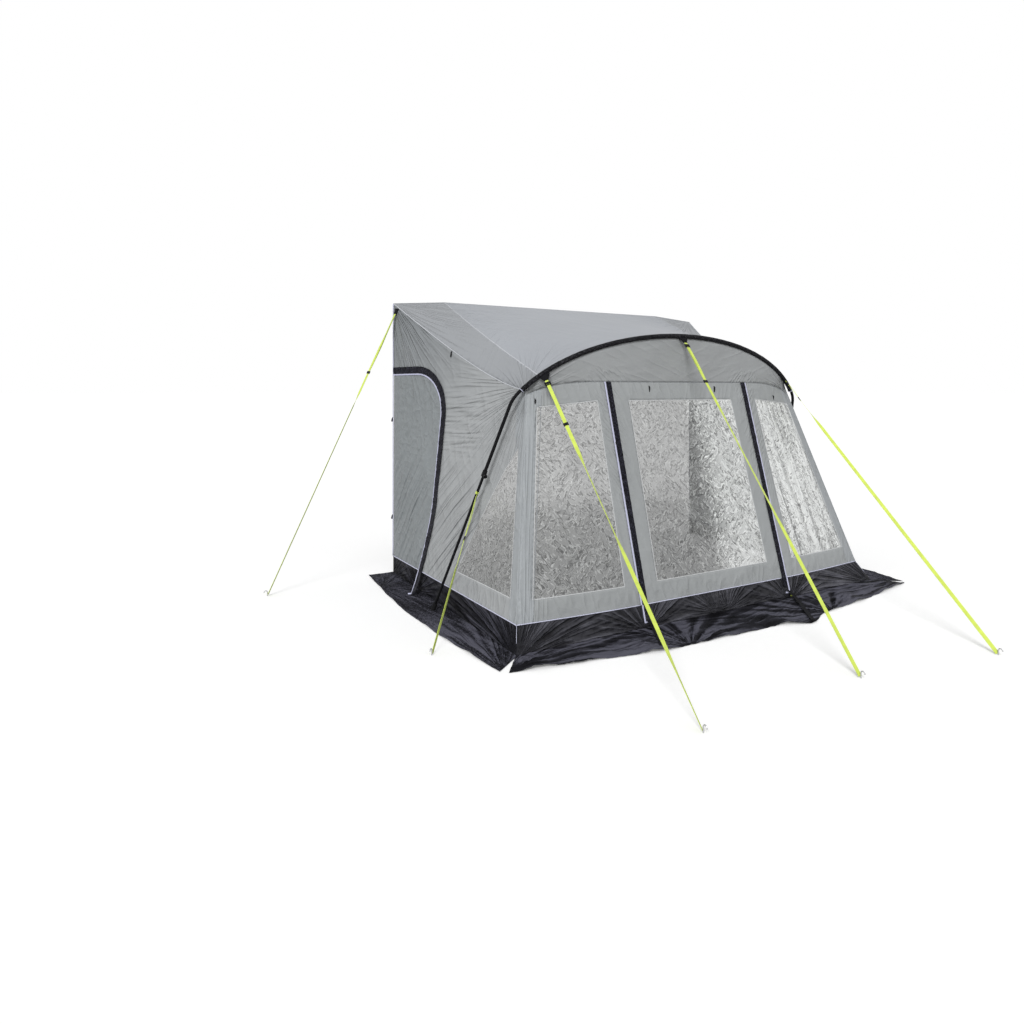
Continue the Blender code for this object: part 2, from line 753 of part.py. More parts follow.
# Places of the skirt's folds along its length, and how high each one stands, as shares
SIDE_FOLD_SHARES = [(0.06, 0.6), (0.20, 0.9), (0.34, 0.5), (0.66, 0.7), (0.80, 1.0), (0.93, 0.8)]
FRONT_FOLD_SHARES = [(0.05, 0.9), (0.13, 0.6), (0.25, 1.0), (0.40, 0.6), (0.55, 0.8),
                     (0.70, 0.6), (0.79, 1.0), (0.90, 0.7), (0.96, 0.9)]


def skirt_lift(along, length, outward_run, shares):
    """Height of the skirt's underside: flat on the ground, with folds that rise towards its hem."""
    height = 0.0
    for place, tall in shares:
        near = (along - place * length) / SKIRT_FOLD_WIDTH
        height = max(height, tall * SKIRT_FOLD * math.exp(-near * near))
    return height * clamp(outward_run) if height > CLOTH else 0.0


def skirts(group):
    shift = CLOTH + GAP + GAP
    length = -GROUND_CORNER_Y
    for word, sign in SIDES.items():
        inner = [(ground_x(y) + shift, y) for y in span(0.0, GROUND_CORNER_Y, SEAM_STEPS)]
        hem = [(SKIRT_NOTCH_X + SKIRT_CORNER_SPREAD + SKIRT_SLIT,
                SKIRT_NOTCH_Y - SKIRT_CORNER_SPREAD + SKIRT_SLIT)]
        for share in span(1.0, 0.0, 2 * SEAM_STEPS)[1:]:
            width = lerp(SKIRT_REAR_WIDTH, SKIRT_SIDE_WIDTH, math.sin(share * math.pi))
            hem.append((ground_x(GROUND_CORNER_Y * share) + width, GROUND_CORNER_Y * share))
        outline = inner + [(SKIRT_NOTCH_X, SKIRT_NOTCH_Y)] + hem

        def lift(x, y):
            run = (x - ground_x(y) - shift) / SKIRT_REAR_WIDTH
            return (sign * x, y, skirt_lift(-y, length, run, SIDE_FOLD_SHARES))
        cloth("skirt_" + word, outline, lift, (0.0, 0.0, 1.0), group, "dark_cloth", step=SKIRT_STEP)
    reach = SKIRT_NOTCH_X + SKIRT_CORNER_SPREAD - SKIRT_SLIT
    deep = SKIRT_NOTCH_Y - SKIRT_CORNER_SPREAD - SKIRT_SLIT
    inner = [(x, front_y(x, 0.0) - shift) for x in span(-GROUND_CORNER_X, GROUND_CORNER_X, 2 * SEAM_STEPS)]
    hem = [(reach, deep)]
    for share in span(1.0, -1.0, 4 * SEAM_STEPS)[1:-1]:
        width = lerp(SKIRT_FRONT_CORNER_WIDTH, SKIRT_FRONT_WIDTH, 1.0 - share * share)
        hem.append((GROUND_CORNER_X * share, GROUND_FRONT_Y - width))
    hem.append((-reach, deep))
    notch = [(SKIRT_NOTCH_X - shift, SKIRT_NOTCH_Y - shift)]
    outline = inner + notch + hem + [(-notch[0][0], notch[0][1])]

    def front_lift(x, y):
        run = (GROUND_FRONT_Y - shift - y) / SKIRT_FRONT_CORNER_WIDTH
        return (x, y, skirt_lift(x + reach, 2.0 * reach, run, FRONT_FOLD_SHARES))
    cloth("skirt_front", outline, front_lift, (0.0, 0.0, 1.0), group, "dark_cloth", step=SKIRT_STEP)


# Rail bead, sleeve, hoop and rafters

def rail_bead(group):
    corner = (RAIL_HALF, 0.0, RAIL_HEIGHT - RAIL_CORNER_DROP)
    line = [(-corner[0], 0.0, corner[2]), (-SHOULDER_X, 0.0, RAIL_HEIGHT)]
    line += [(SHOULDER_X, 0.0, RAIL_HEIGHT), corner]
    rod("rail_bead", line, BEAD_RADIUS, group, "bead_strip")


def leg_point(sign, distance):
    """A point on a leg's axis, measured from the end of the bend above it."""
    top = Vector((sign * BEND_END_X, hoop_y(BEND_END_Z), BEND_END_Z))
    foot = Vector((sign * LEG_FOOT_X, hoop_y(0.0), 0.0))
    return top + (foot - top).normalized() * distance


def leg_length():
    return math.dist((BEND_END_X, hoop_y(BEND_END_Z), BEND_END_Z), (LEG_FOOT_X, hoop_y(0.0), 0.0))


def arch_xs(end):
    """Places along the arch that the sleeve, the pole in it and the cloth edges beside it share."""
    middle = span(-SPIGOT_START_X, SPIGOT_START_X, ARCH_STEPS)
    outer = [x for x in (CROWN_END_X, SHOULDER_X, SLEEVE_BEND_X, SLEEVE_END_X) if x <= end]
    return [-x for x in outer[::-1]] + middle + outer


def elbow_line(sign):
    """Axis of an elbow from its spigot in the crown, round the bend, to its spigot in the leg."""
    arch = [pole_point(x) for x in (SPIGOT_START_X, CROWN_END_X, CROWN_END_X + SPIGOT_TAPER,
                                    SHOULDER_X, SLEEVE_BEND_X, SLEEVE_END_X, ARCH_BEND_X)]
    bend_start = arch[-1]
    slope = arch_slope(ARCH_BEND_X)
    leg_slope = -BEND_END_Z / (LEG_FOOT_X - BEND_END_X)
    rise = BEND_END_Z - bend_start.z
    meet_x = (rise + slope * bend_start.x - leg_slope * BEND_END_X) / (slope - leg_slope)
    meet_z = bend_start.z + slope * (meet_x - bend_start.x)
    bend = []
    for share in span(0.0, 1.0, 6)[1:]:
        near = (1.0 - share) ** 2
        middle = 2.0 * share * (1.0 - share)
        x = near * bend_start.x + middle * meet_x + share * share * BEND_END_X
        z = near * bend_start.z + middle * meet_z + share * share * BEND_END_Z
        bend.append(Vector((x, hoop_y(z), z)))
    tail = [leg_point(1.0, at) for at in
            (ELBOW_TAIL - SPIGOT_TAPER, ELBOW_TAIL, ELBOW_TAIL + SPIGOT_LENGTH)]
    line = arch + bend + tail
    narrow = SPIGOT_RADIUS / POLE_RADIUS
    radii = [narrow, narrow] + [1.0] * (len(line) - 4) + [narrow, narrow]
    return [Vector((sign * point.x, point.y, point.z)) for point in line], radii


def hoop(group):
    tube("arch_sleeve", [sleeve_point(x) for x in arch_xs(SLEEVE_END_X)],
         SLEEVE_RADIUS, SLEEVE_WALL, group, "dark_cloth")
    tube("arch_crown", [pole_point(x) for x in arch_xs(CROWN_END_X)],
         POLE_RADIUS, POLE_WALL, group, "black_tube")
    leg_end = leg_length() - FOOT_SOLE - FERRULE_RADIUS
    for word, sign in SIDES.items():
        line, radii = elbow_line(sign)
        tube("arch_elbow_" + word, line, POLE_RADIUS, POLE_WALL, group, "black_tube", radii=radii)
        tube("leg_upper_" + word, [leg_point(sign, ELBOW_TAIL), leg_point(sign, UPPER_LEG_END)],
             POLE_RADIUS, POLE_WALL, group, "black_tube")
        tube("leg_lower_" + word, [leg_point(sign, LOWER_LEG_START), leg_point(sign, leg_end)],
             SPIGOT_RADIUS, POLE_WALL, group, "black_tube")
        leg_clamp(word, sign, group)
        leg_foot(word, sign, leg_end, group)


def leg_frame(sign, distance):
    """A frame on a leg's axis: Z up the leg, X to the front."""
    up = (leg_point(sign, 0.0) - leg_point(sign, 1.0)).normalized()
    front = Vector((0.0, -1.0, 0.0))
    front = (front - up * front.dot(up)).normalized()
    turn = Matrix((front, up.cross(front), up)).transposed()
    return Matrix.Translation(leg_point(sign, distance)) @ turn.to_4x4()


def knob_frame(sign):
    """A frame on the leg's axis at the clamp: Z points out along the knob."""
    drop = Matrix.Translation((0.0, 0.0, -CLAMP_LENGTH / 4.0))
    return leg_frame(sign, UPPER_LEG_END) @ drop @ Matrix.Rotation(math.pi / 2.0, 4, "Y")


def leg_clamp(word, sign, group):
    half = CLAMP_LENGTH / 2.0
    wide = POLE_RADIUS + GAP
    narrow = SPIGOT_RADIUS + GAP
    profile = [(wide, half), (CLAMP_RADIUS, half), (CLAMP_RADIUS, -half), (narrow, -half),
               (narrow, -GAP), (wide, -GAP), (wide, half)]
    ring = turned("leg_clamp_" + word, profile, group, "black_plastic")
    ring.matrix_world = leg_frame(sign, UPPER_LEG_END)
    knob_axis = knob_frame(sign)
    bore_end = CLAMP_RADIUS + CUT_OVERRUN
    bore = cutter_rod("clamp_bore", [knob_axis.translation, knob_axis @ Vector((0.0, 0.0, bore_end))],
                      KNOB_STEM + 2.0 * GAP, resolution=4)
    combine(ring, bore, "DIFFERENCE")
    face = CLAMP_RADIUS + GAP
    tip = SPIGOT_RADIUS + GAP + GAP
    top = face + KNOB_DEPTH
    rim = KNOB_RADIUS - KNOB_COLLAR
    profile = [(0.0, top), (rim, top), (KNOB_RADIUS, top - KNOB_COLLAR), (KNOB_RADIUS, face + KNOB_COLLAR),
               (rim, face), (KNOB_STEM, face), (KNOB_STEM, tip), (0.0, tip)]
    knob = turned("clamp_knob_" + word, profile, group, "black_plastic", steps=16)
    knob.matrix_world = knob_axis


def leg_foot(word, sign, leg_end, group):
    sole = -(FERRULE_RADIUS + FOOT_SOLE) * 2.0
    inner = SPIGOT_RADIUS + GAP
    top = FERRULE_LENGTH - FERRULE_RADIUS
    profile = [(0.0, -GAP), (inner, -GAP), (inner, top), (FERRULE_RADIUS, top), (FERRULE_RADIUS, sole),
               (0.0, sole)]
    foot = turned("foot_" + word, profile, group, "rubber_foot")
    foot.matrix_world = leg_frame(sign, leg_end)
    size = FERRULE_LENGTH * 4.0
    ground = Matrix.Translation((sign * LEG_FOOT_X, hoop_y(0.0), CLOTH + GAP - size / 2.0))
    block = cutter_box("foot_cut", (size, size, size), ground)
    combine(foot, block, "DIFFERENCE")


def rafter_line(sign):
    """Both ends of a rafter's axis: its rim just clears the sleeve in front, its pad is at the rear."""
    arch = sleeve_point(RAFTER_X)
    dip = math.radians(RAFTER_DIP_DEG)
    toward = Vector((0.0, math.cos(dip), -math.sin(dip)))
    rear = Vector((RAFTER_X, CARAVAN_Y - PAD_THICK, RAIL_HEIGHT - RAFTER_PAD_DROP))
    rise = (rear - arch).normalized()
    across = Vector((0.0, -rise.z, rise.y))
    lean = RAFTER_RADIUS * abs(toward.dot(across))
    clear = SLEEVE_RADIUS + GAP + RAFTER_RADIUS * abs(arch_slope(RAFTER_X)) / 2.0
    start = arch + toward * (lean + math.sqrt(lean * lean - RAFTER_RADIUS ** 2 + clear ** 2))
    return Vector((sign * start.x, start.y, start.z)), Vector((sign * rear.x, rear.y, rear.z))


def rafters(group):
    for word, sign in SIDES.items():
        start, rear = rafter_line(sign)
        split = start.lerp(rear, RAFTER_SPLIT_SHARE)
        along = (rear - start).normalized()
        tube("rafter_outer_" + word, [start, split], RAFTER_RADIUS, POLE_WALL, group, "black_tube")
        inner_line = [split - along * RAFTER_INSERT, rear]
        inner = rod("rafter_inner_" + word, inner_line, RAFTER_INNER_RADIUS, group, "black_tube",
                    resolution=4)
        neck = cutter_rod("pad_neck", [rear - along * PAD_NECK_LENGTH, rear], PAD_NECK_RADIUS, resolution=4)
        combine(inner, neck, "UNION")
        middle = Matrix.Translation((rear.x, CARAVAN_Y - PAD_THICK, rear.z))
        deep = PAD_THICK * 2.0
        plate = cutter_box("pad_plate", (PAD_SIZE, deep, PAD_SIZE), middle)
        combine(inner, plate, "UNION")


# Guy lines with runners and pegs

# Ground ends, where the webbing reaches its peg, and each runner's place as a share of the line
GUY_ENDS = {
    "front_left": Vector((GUY_LEFT_END_X, GUY_LEFT_END_Y, 0.0)),
    "front_centre": Vector((GUY_CENTRE_END_X, GUY_CENTRE_END_Y, 0.0)),
    "front_right": Vector((GUY_RIGHT_END_X, GUY_RIGHT_END_Y, 0.0)),
    "leg_left": Vector((-(LEG_FOOT_X + GUY_LEG_REACH), GUY_LEG_END_Y, 0.0)),
    "rear_left": Vector((-(RAIL_HALF + GUY_REAR_REACH), GUY_REAR_END_Y, 0.0)),
}
GUY_TOP_XS = {"front_left": GUY_TOP_INSET - ARCH_HALF, "front_centre": GUY_CENTRE_X,
              "front_right": ARCH_HALF - GUY_TOP_INSET}
GUY_REAR_Z = RAIL_HEIGHT - GUY_REAR_DROP
RUNNER_SHARES = {"front_left": 0.19, "front_centre": 0.168, "front_right": 0.105, "leg_left": 0.30,
                 "rear_left": 0.24}


def guy_line(word):
    """Both ends of a guy's centre line and the direction of the webbing's width at its top."""
    end = GUY_ENDS[word]
    if word == "rear_left":
        stand_off = CLOTH + GUY_REAR_CLEAR
        start = Vector((-wall_x(GUY_REAR_Y, GUY_REAR_Z) - stand_off, GUY_REAR_Y, GUY_REAR_Z))
        front_x = wall_x(GUY_REAR_Y - WEB_WIDTH, GUY_REAR_Z)
        along_wall = Vector((front_x - wall_x(GUY_REAR_Y, GUY_REAR_Z), WEB_WIDTH, 0.0))
        outward = Vector((-along_wall.y, along_wall.x, 0.0)).normalized()
        return start, end, (end - start).cross(outward).normalized()
    if word == "leg_left":
        centre = leg_point(-1.0, GUY_LEG_DISTANCE)
        carrier = (leg_point(-1.0, 1.0) - leg_point(-1.0, 0.0)).normalized()
        radius = SPIGOT_RADIUS
    else:
        x = GUY_TOP_XS[word]
        centre = sleeve_point(x)
        near = CROWN_END_X - SPIGOT_START_X
        carrier = (sleeve_point(x + near / 2.0) - sleeve_point(x - near / 2.0)).normalized()
        radius = SLEEVE_RADIUS
    down = (end - centre).normalized()
    lean = abs(down.dot(carrier))
    away = (radius + GAP + WEB_WIDTH / 2.0 * lean) / math.sqrt(1.0 - lean * lean)
    return centre + down * away, end, (carrier - down * carrier.dot(down)).normalized()


def webbing(word, group):
    start, end, wide = guy_line(word)
    down = (end - start).normalized()
    length = (end - start).length - WEB_END_CLEAR
    strip = bmesh.new()
    bmesh.ops.create_cube(strip, size=1.0)
    bmesh.ops.scale(strip, vec=Vector((length, WEB_WIDTH, WEB_THICK)), verts=strip.verts)
    long_edges = [edge for edge in strip.edges
                  if abs(edge.verts[0].co.x - edge.verts[1].co.x) > length / 2.0]
    bmesh.ops.subdivide_edges(strip, edges=long_edges, cuts=WEB_STEPS - 1, use_grid_fill=True)
    still = RUNNER_SHARES[word] * (end - start).length + RUNNER_TRAVEL + RUNNER_LENGTH
    for vert in strip.verts:
        along = vert.co.x + length / 2.0
        share = clamp((along - still) / (length - still))
        turn = WEB_TWIST_TURNS * 2.0 * math.pi * share * share * (3.0 - 2.0 * share)
        y, z = vert.co.y, vert.co.z
        vert.co = Vector((along, y * math.cos(turn) - z * math.sin(turn),
                          y * math.sin(turn) + z * math.cos(turn)))
    mesh = bpy.data.meshes.new("guy_" + word)
    strip.to_mesh(mesh)
    strip.free()
    piece = add_object("guy_" + word, mesh, group, "guy_webbing")
    piece.matrix_world = axis_matrix(start, down, wide)


def runner(word, group):
    start, end, wide = guy_line(word)
    place = axis_matrix(start.lerp(end, RUNNER_SHARES[word]), end - start, wide)
    piece = add_object("guy_runner_" + word,
                       box_mesh("guy_runner_" + word, (RUNNER_LENGTH, RUNNER_WIDTH, RUNNER_THICK)),
                       group, "black_plastic")
    piece.matrix_world = place
    slot = (RUNNER_LENGTH + CUT_OVERRUN, WEB_WIDTH + 2.0 * GAP, WEB_THICK + 2.0 * GAP)
    combine(piece, cutter_box("runner_slot", slot, place), "DIFFERENCE")


def peg(word, group):
    start, end, wide = guy_line(word)
    down = (end - start).normalized()
    thin = down.cross(wide)
    out = Vector((down.x, down.y, 0.0)).normalized()
    strap_end = end - down * WEB_END_CLEAR
    side = Vector((-wide.y, wide.x, 0.0)).normalized()
    reach = (PEG_RADIUS + GAP + abs(thin.dot(side)) * WEB_THICK / 2.0) / abs(out.dot(side))
    foot = Vector((strap_end.x, strap_end.y, 0.0)) + out * reach
    line = [foot, foot + Vector((0.0, 0.0, PEG_STUB / 2.0)), foot + Vector((0.0, 0.0, PEG_STUB))]
    for turn in span(0.0, math.pi, 6)[1:]:
        run = out * (PEG_HOOK * (1.0 - math.cos(turn)))
        line.append(foot + run + Vector((0.0, 0.0, PEG_STUB + PEG_HOOK * math.sin(turn))))
    rod("peg_" + word, line, PEG_RADIUS, group, "peg_steel")


def guys(group):
    for word in GUY_ENDS:
        webbing(word, group)
        runner(word, group)
        peg(word, group)


# Zip sliders

def slider(name, origin, along, across, group):
    """A zip slider on the outside of the cloth, with its pull hanging down from it."""
    place = axis_matrix(origin, along, across)
    rise = CLOTH + SLIDER_CLEAR + SLIDER_THICK / 2.0
    block = box_mesh(name, (SLIDER_LENGTH, SLIDER_WIDTH, SLIDER_THICK))
    piece = add_object(name, block, group, "zip_metal")
    piece.matrix_world = place @ Matrix.Translation((0.0, 0.0, rise))
    overlap = PULL_WIDTH / 2.0
    drop = -(SLIDER_LENGTH + PULL_LENGTH) / 2.0 + overlap
    pull_at = place @ Matrix.Translation((drop, 0.0, rise + SLIDER_THICK / 2.0 - PULL_THICK))
    pull = cutter_box("pull", (PULL_LENGTH, PULL_WIDTH, PULL_THICK), pull_at)
    combine(piece, pull, "UNION")


def sliders(group):
    for word, sign in SIDES.items():
        origin = Vector((sign * ZIP_X, centre_y(FRONT_SLIDER_Z), FRONT_SLIDER_Z))
        slider("zip_slider_front_" + word, origin, (0.0, FRONT_LEAN, 1.0), (-1.0, 0.0, 0.0), group)
        y = -DOOR_DEPTH
        spot = [Vector((sign * wall_x(y, z), y, z)) for z in (DOOR_STRAIGHT_LOW_Z, DOOR_SLIDER_Z)]
        beside = Vector((sign * wall_x(y + DOOR_ROUND, DOOR_SLIDER_Z), y + DOOR_ROUND, DOOR_SLIDER_Z))
        across = (spot[1] - beside) * sign
        slider("zip_slider_door_" + word, spot[1], spot[1] - spot[0], across, group)


# Joints: moving pieces get their origin on their joint's axis

def set_origin(name, point):
    piece = bpy.data.objects[name]
    piece.data.transform(Matrix.Translation(-Vector(point)))
    piece.location = point


def joint_origins():
    for name in ("centre_panel", "centre_window"):
        set_origin(name, (0.0, centre_y(HEADER_Z), HEADER_Z))
    for word, sign in SIDES.items():
        set_origin("door_" + word, (sign * RAIL_HALF, DOOR_HINGE_Y, PIPING_Z))
        set_origin("leg_lower_" + word, leg_point(sign, LOWER_LEG_START))
        set_origin("rafter_inner_" + word, rafter_line(sign)[1])


def half_depth():
    """Half the ground that the awning covers, from the caravan's side to the middle of the front hem."""
    return (CARAVAN_Y - GROUND_FRONT_Y + SKIRT_FRONT_WIDTH - GAP / 2.0) / 2.0


def stand_on_centre(parts):
    """Put the middle of the ground plan on the origin, by hanging every piece on one empty."""
    stand = bpy.data.objects.new("awning_stand", None)
    parts.objects.link(stand)
    for piece in list(parts.objects):
        if piece != stand:
            piece.parent = stand
    stand.location = (0.0, half_depth() - CARAVAN_Y, 0.0)


def main():
    clear_scene()
    parts = make_collection(PART_GROUP)
    make_collection(CUTTER_GROUP)
    roof(parts)
    front_wall(parts)
    side_walls(parts)
    mud_walls(parts)
    skirts(parts)
    rail_bead(parts)
    hoop(parts)
    rafters(parts)
    guys(parts)
    sliders(parts)
    joint_origins()
    stand_on_centre(parts)


main()
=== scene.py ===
"""Looks of the caravan porch awning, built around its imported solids.

Frame: X along the caravan, Y towards it, Z up; metres. Shapes are worked out with the caravan's
side near y = 0, as the awning is cut, and SHIFT moves them onto the ground plan's middle.
"""

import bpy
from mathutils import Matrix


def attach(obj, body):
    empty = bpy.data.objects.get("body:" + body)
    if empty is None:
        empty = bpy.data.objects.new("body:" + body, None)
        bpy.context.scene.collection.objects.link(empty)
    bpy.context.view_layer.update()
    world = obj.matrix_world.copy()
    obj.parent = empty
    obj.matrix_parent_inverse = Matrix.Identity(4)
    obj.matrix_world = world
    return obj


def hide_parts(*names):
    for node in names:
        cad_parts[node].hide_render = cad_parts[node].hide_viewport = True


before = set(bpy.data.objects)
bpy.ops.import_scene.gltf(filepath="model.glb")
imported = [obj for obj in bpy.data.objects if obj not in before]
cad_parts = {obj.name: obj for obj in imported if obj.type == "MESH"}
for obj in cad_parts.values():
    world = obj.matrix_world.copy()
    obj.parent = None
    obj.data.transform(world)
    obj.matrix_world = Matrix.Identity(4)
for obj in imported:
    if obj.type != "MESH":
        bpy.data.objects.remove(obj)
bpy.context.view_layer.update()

import functools
from math import atan2, ceil, copysign, cos, dist, exp, hypot, pi, radians, sin, sqrt

import bmesh
import bpy
import numpy as np
from mathutils import Vector, geometry, noise

# Sizes of the awning, as its solids have them
CLOTH = 0.0012
SHEET = 0.0008
RAIL_HEIGHT = 2.5
RAIL_HALF = 1.805
RAIL_CORNER_DROP = 0.04
REAR_Y = -0.0038
GROUND_FRONT_Y = -2.266
GROUND_CORNER_X = 1.78
GROUND_CORNER_Y = -2.27
PIPING_Z = 0.15
PIPING_CORNER_X = 1.72
PIPING_CORNER_Y = -2.165
FRONT_LEAN = 0.272
ZIP_X = 0.74
HEADER_Z = 1.73
HEADER_CORNER_Z = 1.63
TOP_CORNER_X = 1.385
TOP_CORNER_Y = -1.705
TOP_CORNER_Z = 1.665
BOW_POWER = 1.6
HEADER_POWER = 3
SEAM_POWER = 1.37
SHOULDER_X = 1.3
ROOF_SAG = 0.018
SHOULDER_CROWN = 0.012
HOOP_FOOT_Y = -1.187
HOOP_LEAN = 0.318
ARCH_HALF = 1.592
ARCH_RISE = 0.782
ARCH_BASE_Z = 1.32
SLEEVE_RADIUS = 0.022
SLEEVE_SLIM = 0.0182
SLEEVE_SEAM = 0.0138
SLEEVE_END_X = 1.432
CROWN_END_X = 1.24
BEND_END_X = 1.505
BEND_END_Z = 1.56
LEG_FOOT_X = 1.9
SPIGOT_RADIUS = 0.0105
DOOR_TOP_Z = 1.815
DOOR_DEPTH = 0.755
DOOR_BOTTOM_DEPTH = 0.605
DOOR_STRAIGHT_LOW_Z = 0.8
DOOR_ROUND = 0.38
DOOR_HINGE_Y = -0.01
CORNER_BAND = 0.115
SIDE_BAND = 0.1
FOLD_MEAN = 0.004
MUD_LOW_Z = 0.002
SHIFT = 1.336925

# Windows, at the front by x and z, in the side walls by y and z
WINDOW_LOW_Z = 0.29
WINDOW_TOP_Z = 1.585
CENTRE_WINDOW = [(-0.565, WINDOW_LOW_Z), (0.565, WINDOW_LOW_Z),
                 (0.54, WINDOW_TOP_Z), (-0.54, WINDOW_TOP_Z)]
SIDE_WINDOW = [(0.865, WINDOW_LOW_Z), (1.58, WINDOW_LOW_Z),
               (1.325, WINDOW_TOP_Z - 0.045), (0.84, WINDOW_TOP_Z)]
WALL_WINDOW = [(-1.26, WINDOW_LOW_Z), (-2.03, WINDOW_LOW_Z), (-1.76, 1.25), (-1.66, 1.1)]

# Ground skirts: widths, slit corners, folds as shares of the length with their heights as shares
SKIRT_SIDE_WIDTH = 0.3
SKIRT_REAR_WIDTH = 0.23
SKIRT_FRONT_WIDTH = 0.42
SKIRT_CORNER_WIDTH = 0.25
SKIRT_NOTCH = (1.815, -2.305)
SKIRT_SPREAD = 0.15
SKIRT_CORNER = (SKIRT_NOTCH[0] + SKIRT_SPREAD, SKIRT_NOTCH[1] - SKIRT_SPREAD)
SKIRT_SLIT = 0.02
SKIRT_TUCK = 0.006
SKIRT_FOLD = 0.022
SKIRT_FOLD_WIDTH = 0.085
SIDE_FOLD_SHARES = [(0.06, 0.6), (0.2, 0.9), (0.34, 0.5), (0.66, 0.7), (0.8, 1), (0.93, 0.8)]
FRONT_FOLD_SHARES = [(0.05, 0.9), (0.13, 0.6), (0.25, 1), (0.4, 0.6), (0.55, 0.8),
                     (0.7, 0.6), (0.79, 1), (0.9, 0.7), (0.96, 0.9)]
STRAP_END = (0.7, GROUND_FRONT_Y - SKIRT_FRONT_WIDTH)
STRAP_ENDS = {-1: (-0.9, -2.62), 1: (0.38, -2.76)}
HEM_PULLS = ((0.38, 0.095), (-0.9, 0.025))
HEM_PULL_SPREAD = 0.16

# Guy lines: lower end, x of the upper end on the sleeve, runner's place as a share of the length,
# turns of the webbing in degrees at metres from the top
WEB_WIDTH = 0.025
WEB_THICK = 0.0018
WEB_END_CLEAR = 0.012
WEB_RIBS = 400
GUYS = {
    "front_left": ((-1.45, -3.55, 0), -1.27, 0.19,
                   [(0.64, 0), (0.88, -68), (1.32, -72), (1.58, -24), (1.98, -24), (2.28, -70),
                    (2.51, -74)]),
    "front_centre": ((-0.19, -3.52, 0), -0.02, 0.168,
                     [(0.62, 0), (0.84, -19), (1.45, -18), (1.85, 14), (2.66, 14)]),
    "front_right": ((0.89, -3.72, 0), 1.27, 0.105, [(0.44, 0), (0.66, 64), (2.66, 70)]),
    "leg_left": ((-2.24, -2, 0), None, 0.3, [(0.51, 0), (0.62, 30), (1.17, 34)]),
    "rear_left": ((-2.94, -0.21, 0), None, 0.24,
                  [(0, 0), (0.12, 20), (0.26, 20), (0.38, 0), (0.82, 0), (0.98, 49), (2.67, 50)]),
}
GUY_LEG_DISTANCE = 0.7
GUY_REAR = (-0.05, 2.4)
GUY_REAR_CLEAR = 0.0025
GUY_TOP_CLEAR = 0.0003
LOOP_GAP = 0.15

# Trims
TAPE_WIDTH = 0.013
TAPE_THICK = 0.0012
TAPE_END_THICK = 0.0014
TAPE_LIFT = 0.0065
DOOR_TAPE_IN = -0.009
FLAP_WIDTH = 0.058
FLAP_THICK = 0.0016
FRONT_FLAP_WIDTH = 0.046
INNER_FLAP_WIDTH = 0.04
WELD_WIDTH = 0.005
THIN_TAPE = 0.0006
PIPING_RADIUS = 0.0034
PIPING_LIFT = CLOTH + 0.002
REAR_PIPING_RADIUS = 0.005
FLAP_LIFT = 0.0085
FRONT_FLAP_LIFT = 0.0075
INNER_FLAP_LIFT = -0.006
TAPE_END_LIFT = 0.012
ROOF_SEAM = (0.009, 0.0009)
ROOF_EDGE_RADIUS = 0.0045
HEADER_SEAM_RADIUS = 0.0018
BAND_SEAM_WIDTH = 0.006
CORNER_SEAM_RADIUS = 0.003
RIM_RADIUS = 0.0024
STRAP_SIZE = (0.03, 0.002)
TAB_SIZE = (0.014, 0.002)
TAB_HEIGHTS = (1.4, 0.51)
TOGGLE_PLACES = ((-0.32, 1.7), (0.38, 1.7), (1.12, 1.62), (-1.33, 1.605))
ROOF_TOGGLE_Y = -0.8

# Distance between a panel's mesh points
ROOF_STEP = 0.024
PANEL_STEP = 0.018
SKIRT_STEP = 0.016
MUD_STEP = 0.011

# Camera, fitted to the awning's own edges
CAMERA_PLACE = (-3.876, -6.024, 1.674)
CAMERA_YAW_DEG = 28.77
CAMERA_PITCH_DEG = 0.28
CAMERA_LENS = 24.04
CAMERA_SHIFT = (0.0004, -0.1231)

# Lamps, floor and background
WORLD_LIGHT = 0.5
FLOOR_SIZE = 600
FLOOR_GREY = (0.42, 0.42, 0.42, 1)
FLOOR_GLOW = 0.14
SUN_ENERGY = 2.2
SUN_ANGLE_DEG = 20
SUN_TURN_DEG = (54, 0, -44)

SIDES = {"left": -1, "right": 1}
ROOT = "awning"
FRONT = (0, -1, 0)
UP = (0, 0, 1)
WHITE = (1, 1, 1, 1)
FINE = 1e-6


def lerp(low, high, share):
    return low + (high - low) * share


def clamp(value):
    return max(0, min(1, value))


def smooth(value):
    value = clamp(value)
    return value * value * (3 - 2 * value)


def span(low, high, steps):
    return [lerp(low, high, step / steps) for step in range(steps + 1)]


def turns(low, high, steps):
    """Cosine and sine of angles from low to high."""
    return [(cos(turn), sin(turn)) for turn in span(low, high, steps)]


# Surfaces of the cut cloth

def hoop_y(z):
    return HOOP_FOOT_Y - HOOP_LEAN * z


def arch_root(x):
    return sqrt(1 - (x / ARCH_HALF) ** 2)


def arch_z(x):
    return ARCH_BASE_Z + ARCH_RISE * arch_root(x)


def arch_slope(x):
    return -ARCH_RISE * x / (ARCH_HALF ** 2 * arch_root(x))


def sleeve_point(x):
    return Vector((x, hoop_y(arch_z(x)), arch_z(x)))


def sleeve_along(x, near=0.004):
    return (sleeve_point(x + near) - sleeve_point(x - near)).normalized()


def base_x(y):
    return lerp(RAIL_HALF, PIPING_CORNER_X, y / PIPING_CORNER_Y)


WALL_LEAN = (base_x(TOP_CORNER_Y) - TOP_CORNER_X) / (TOP_CORNER_Z - PIPING_Z)


def wall_x(y, z):
    return base_x(y) - WALL_LEAN * clamp(y / TOP_CORNER_Y) * (z - PIPING_Z)


def ground_x(y):
    return lerp(RAIL_HALF, GROUND_CORNER_X, y / GROUND_CORNER_Y)


def mud_x(y, z):
    return lerp(ground_x(y), base_x(y), z / PIPING_Z)


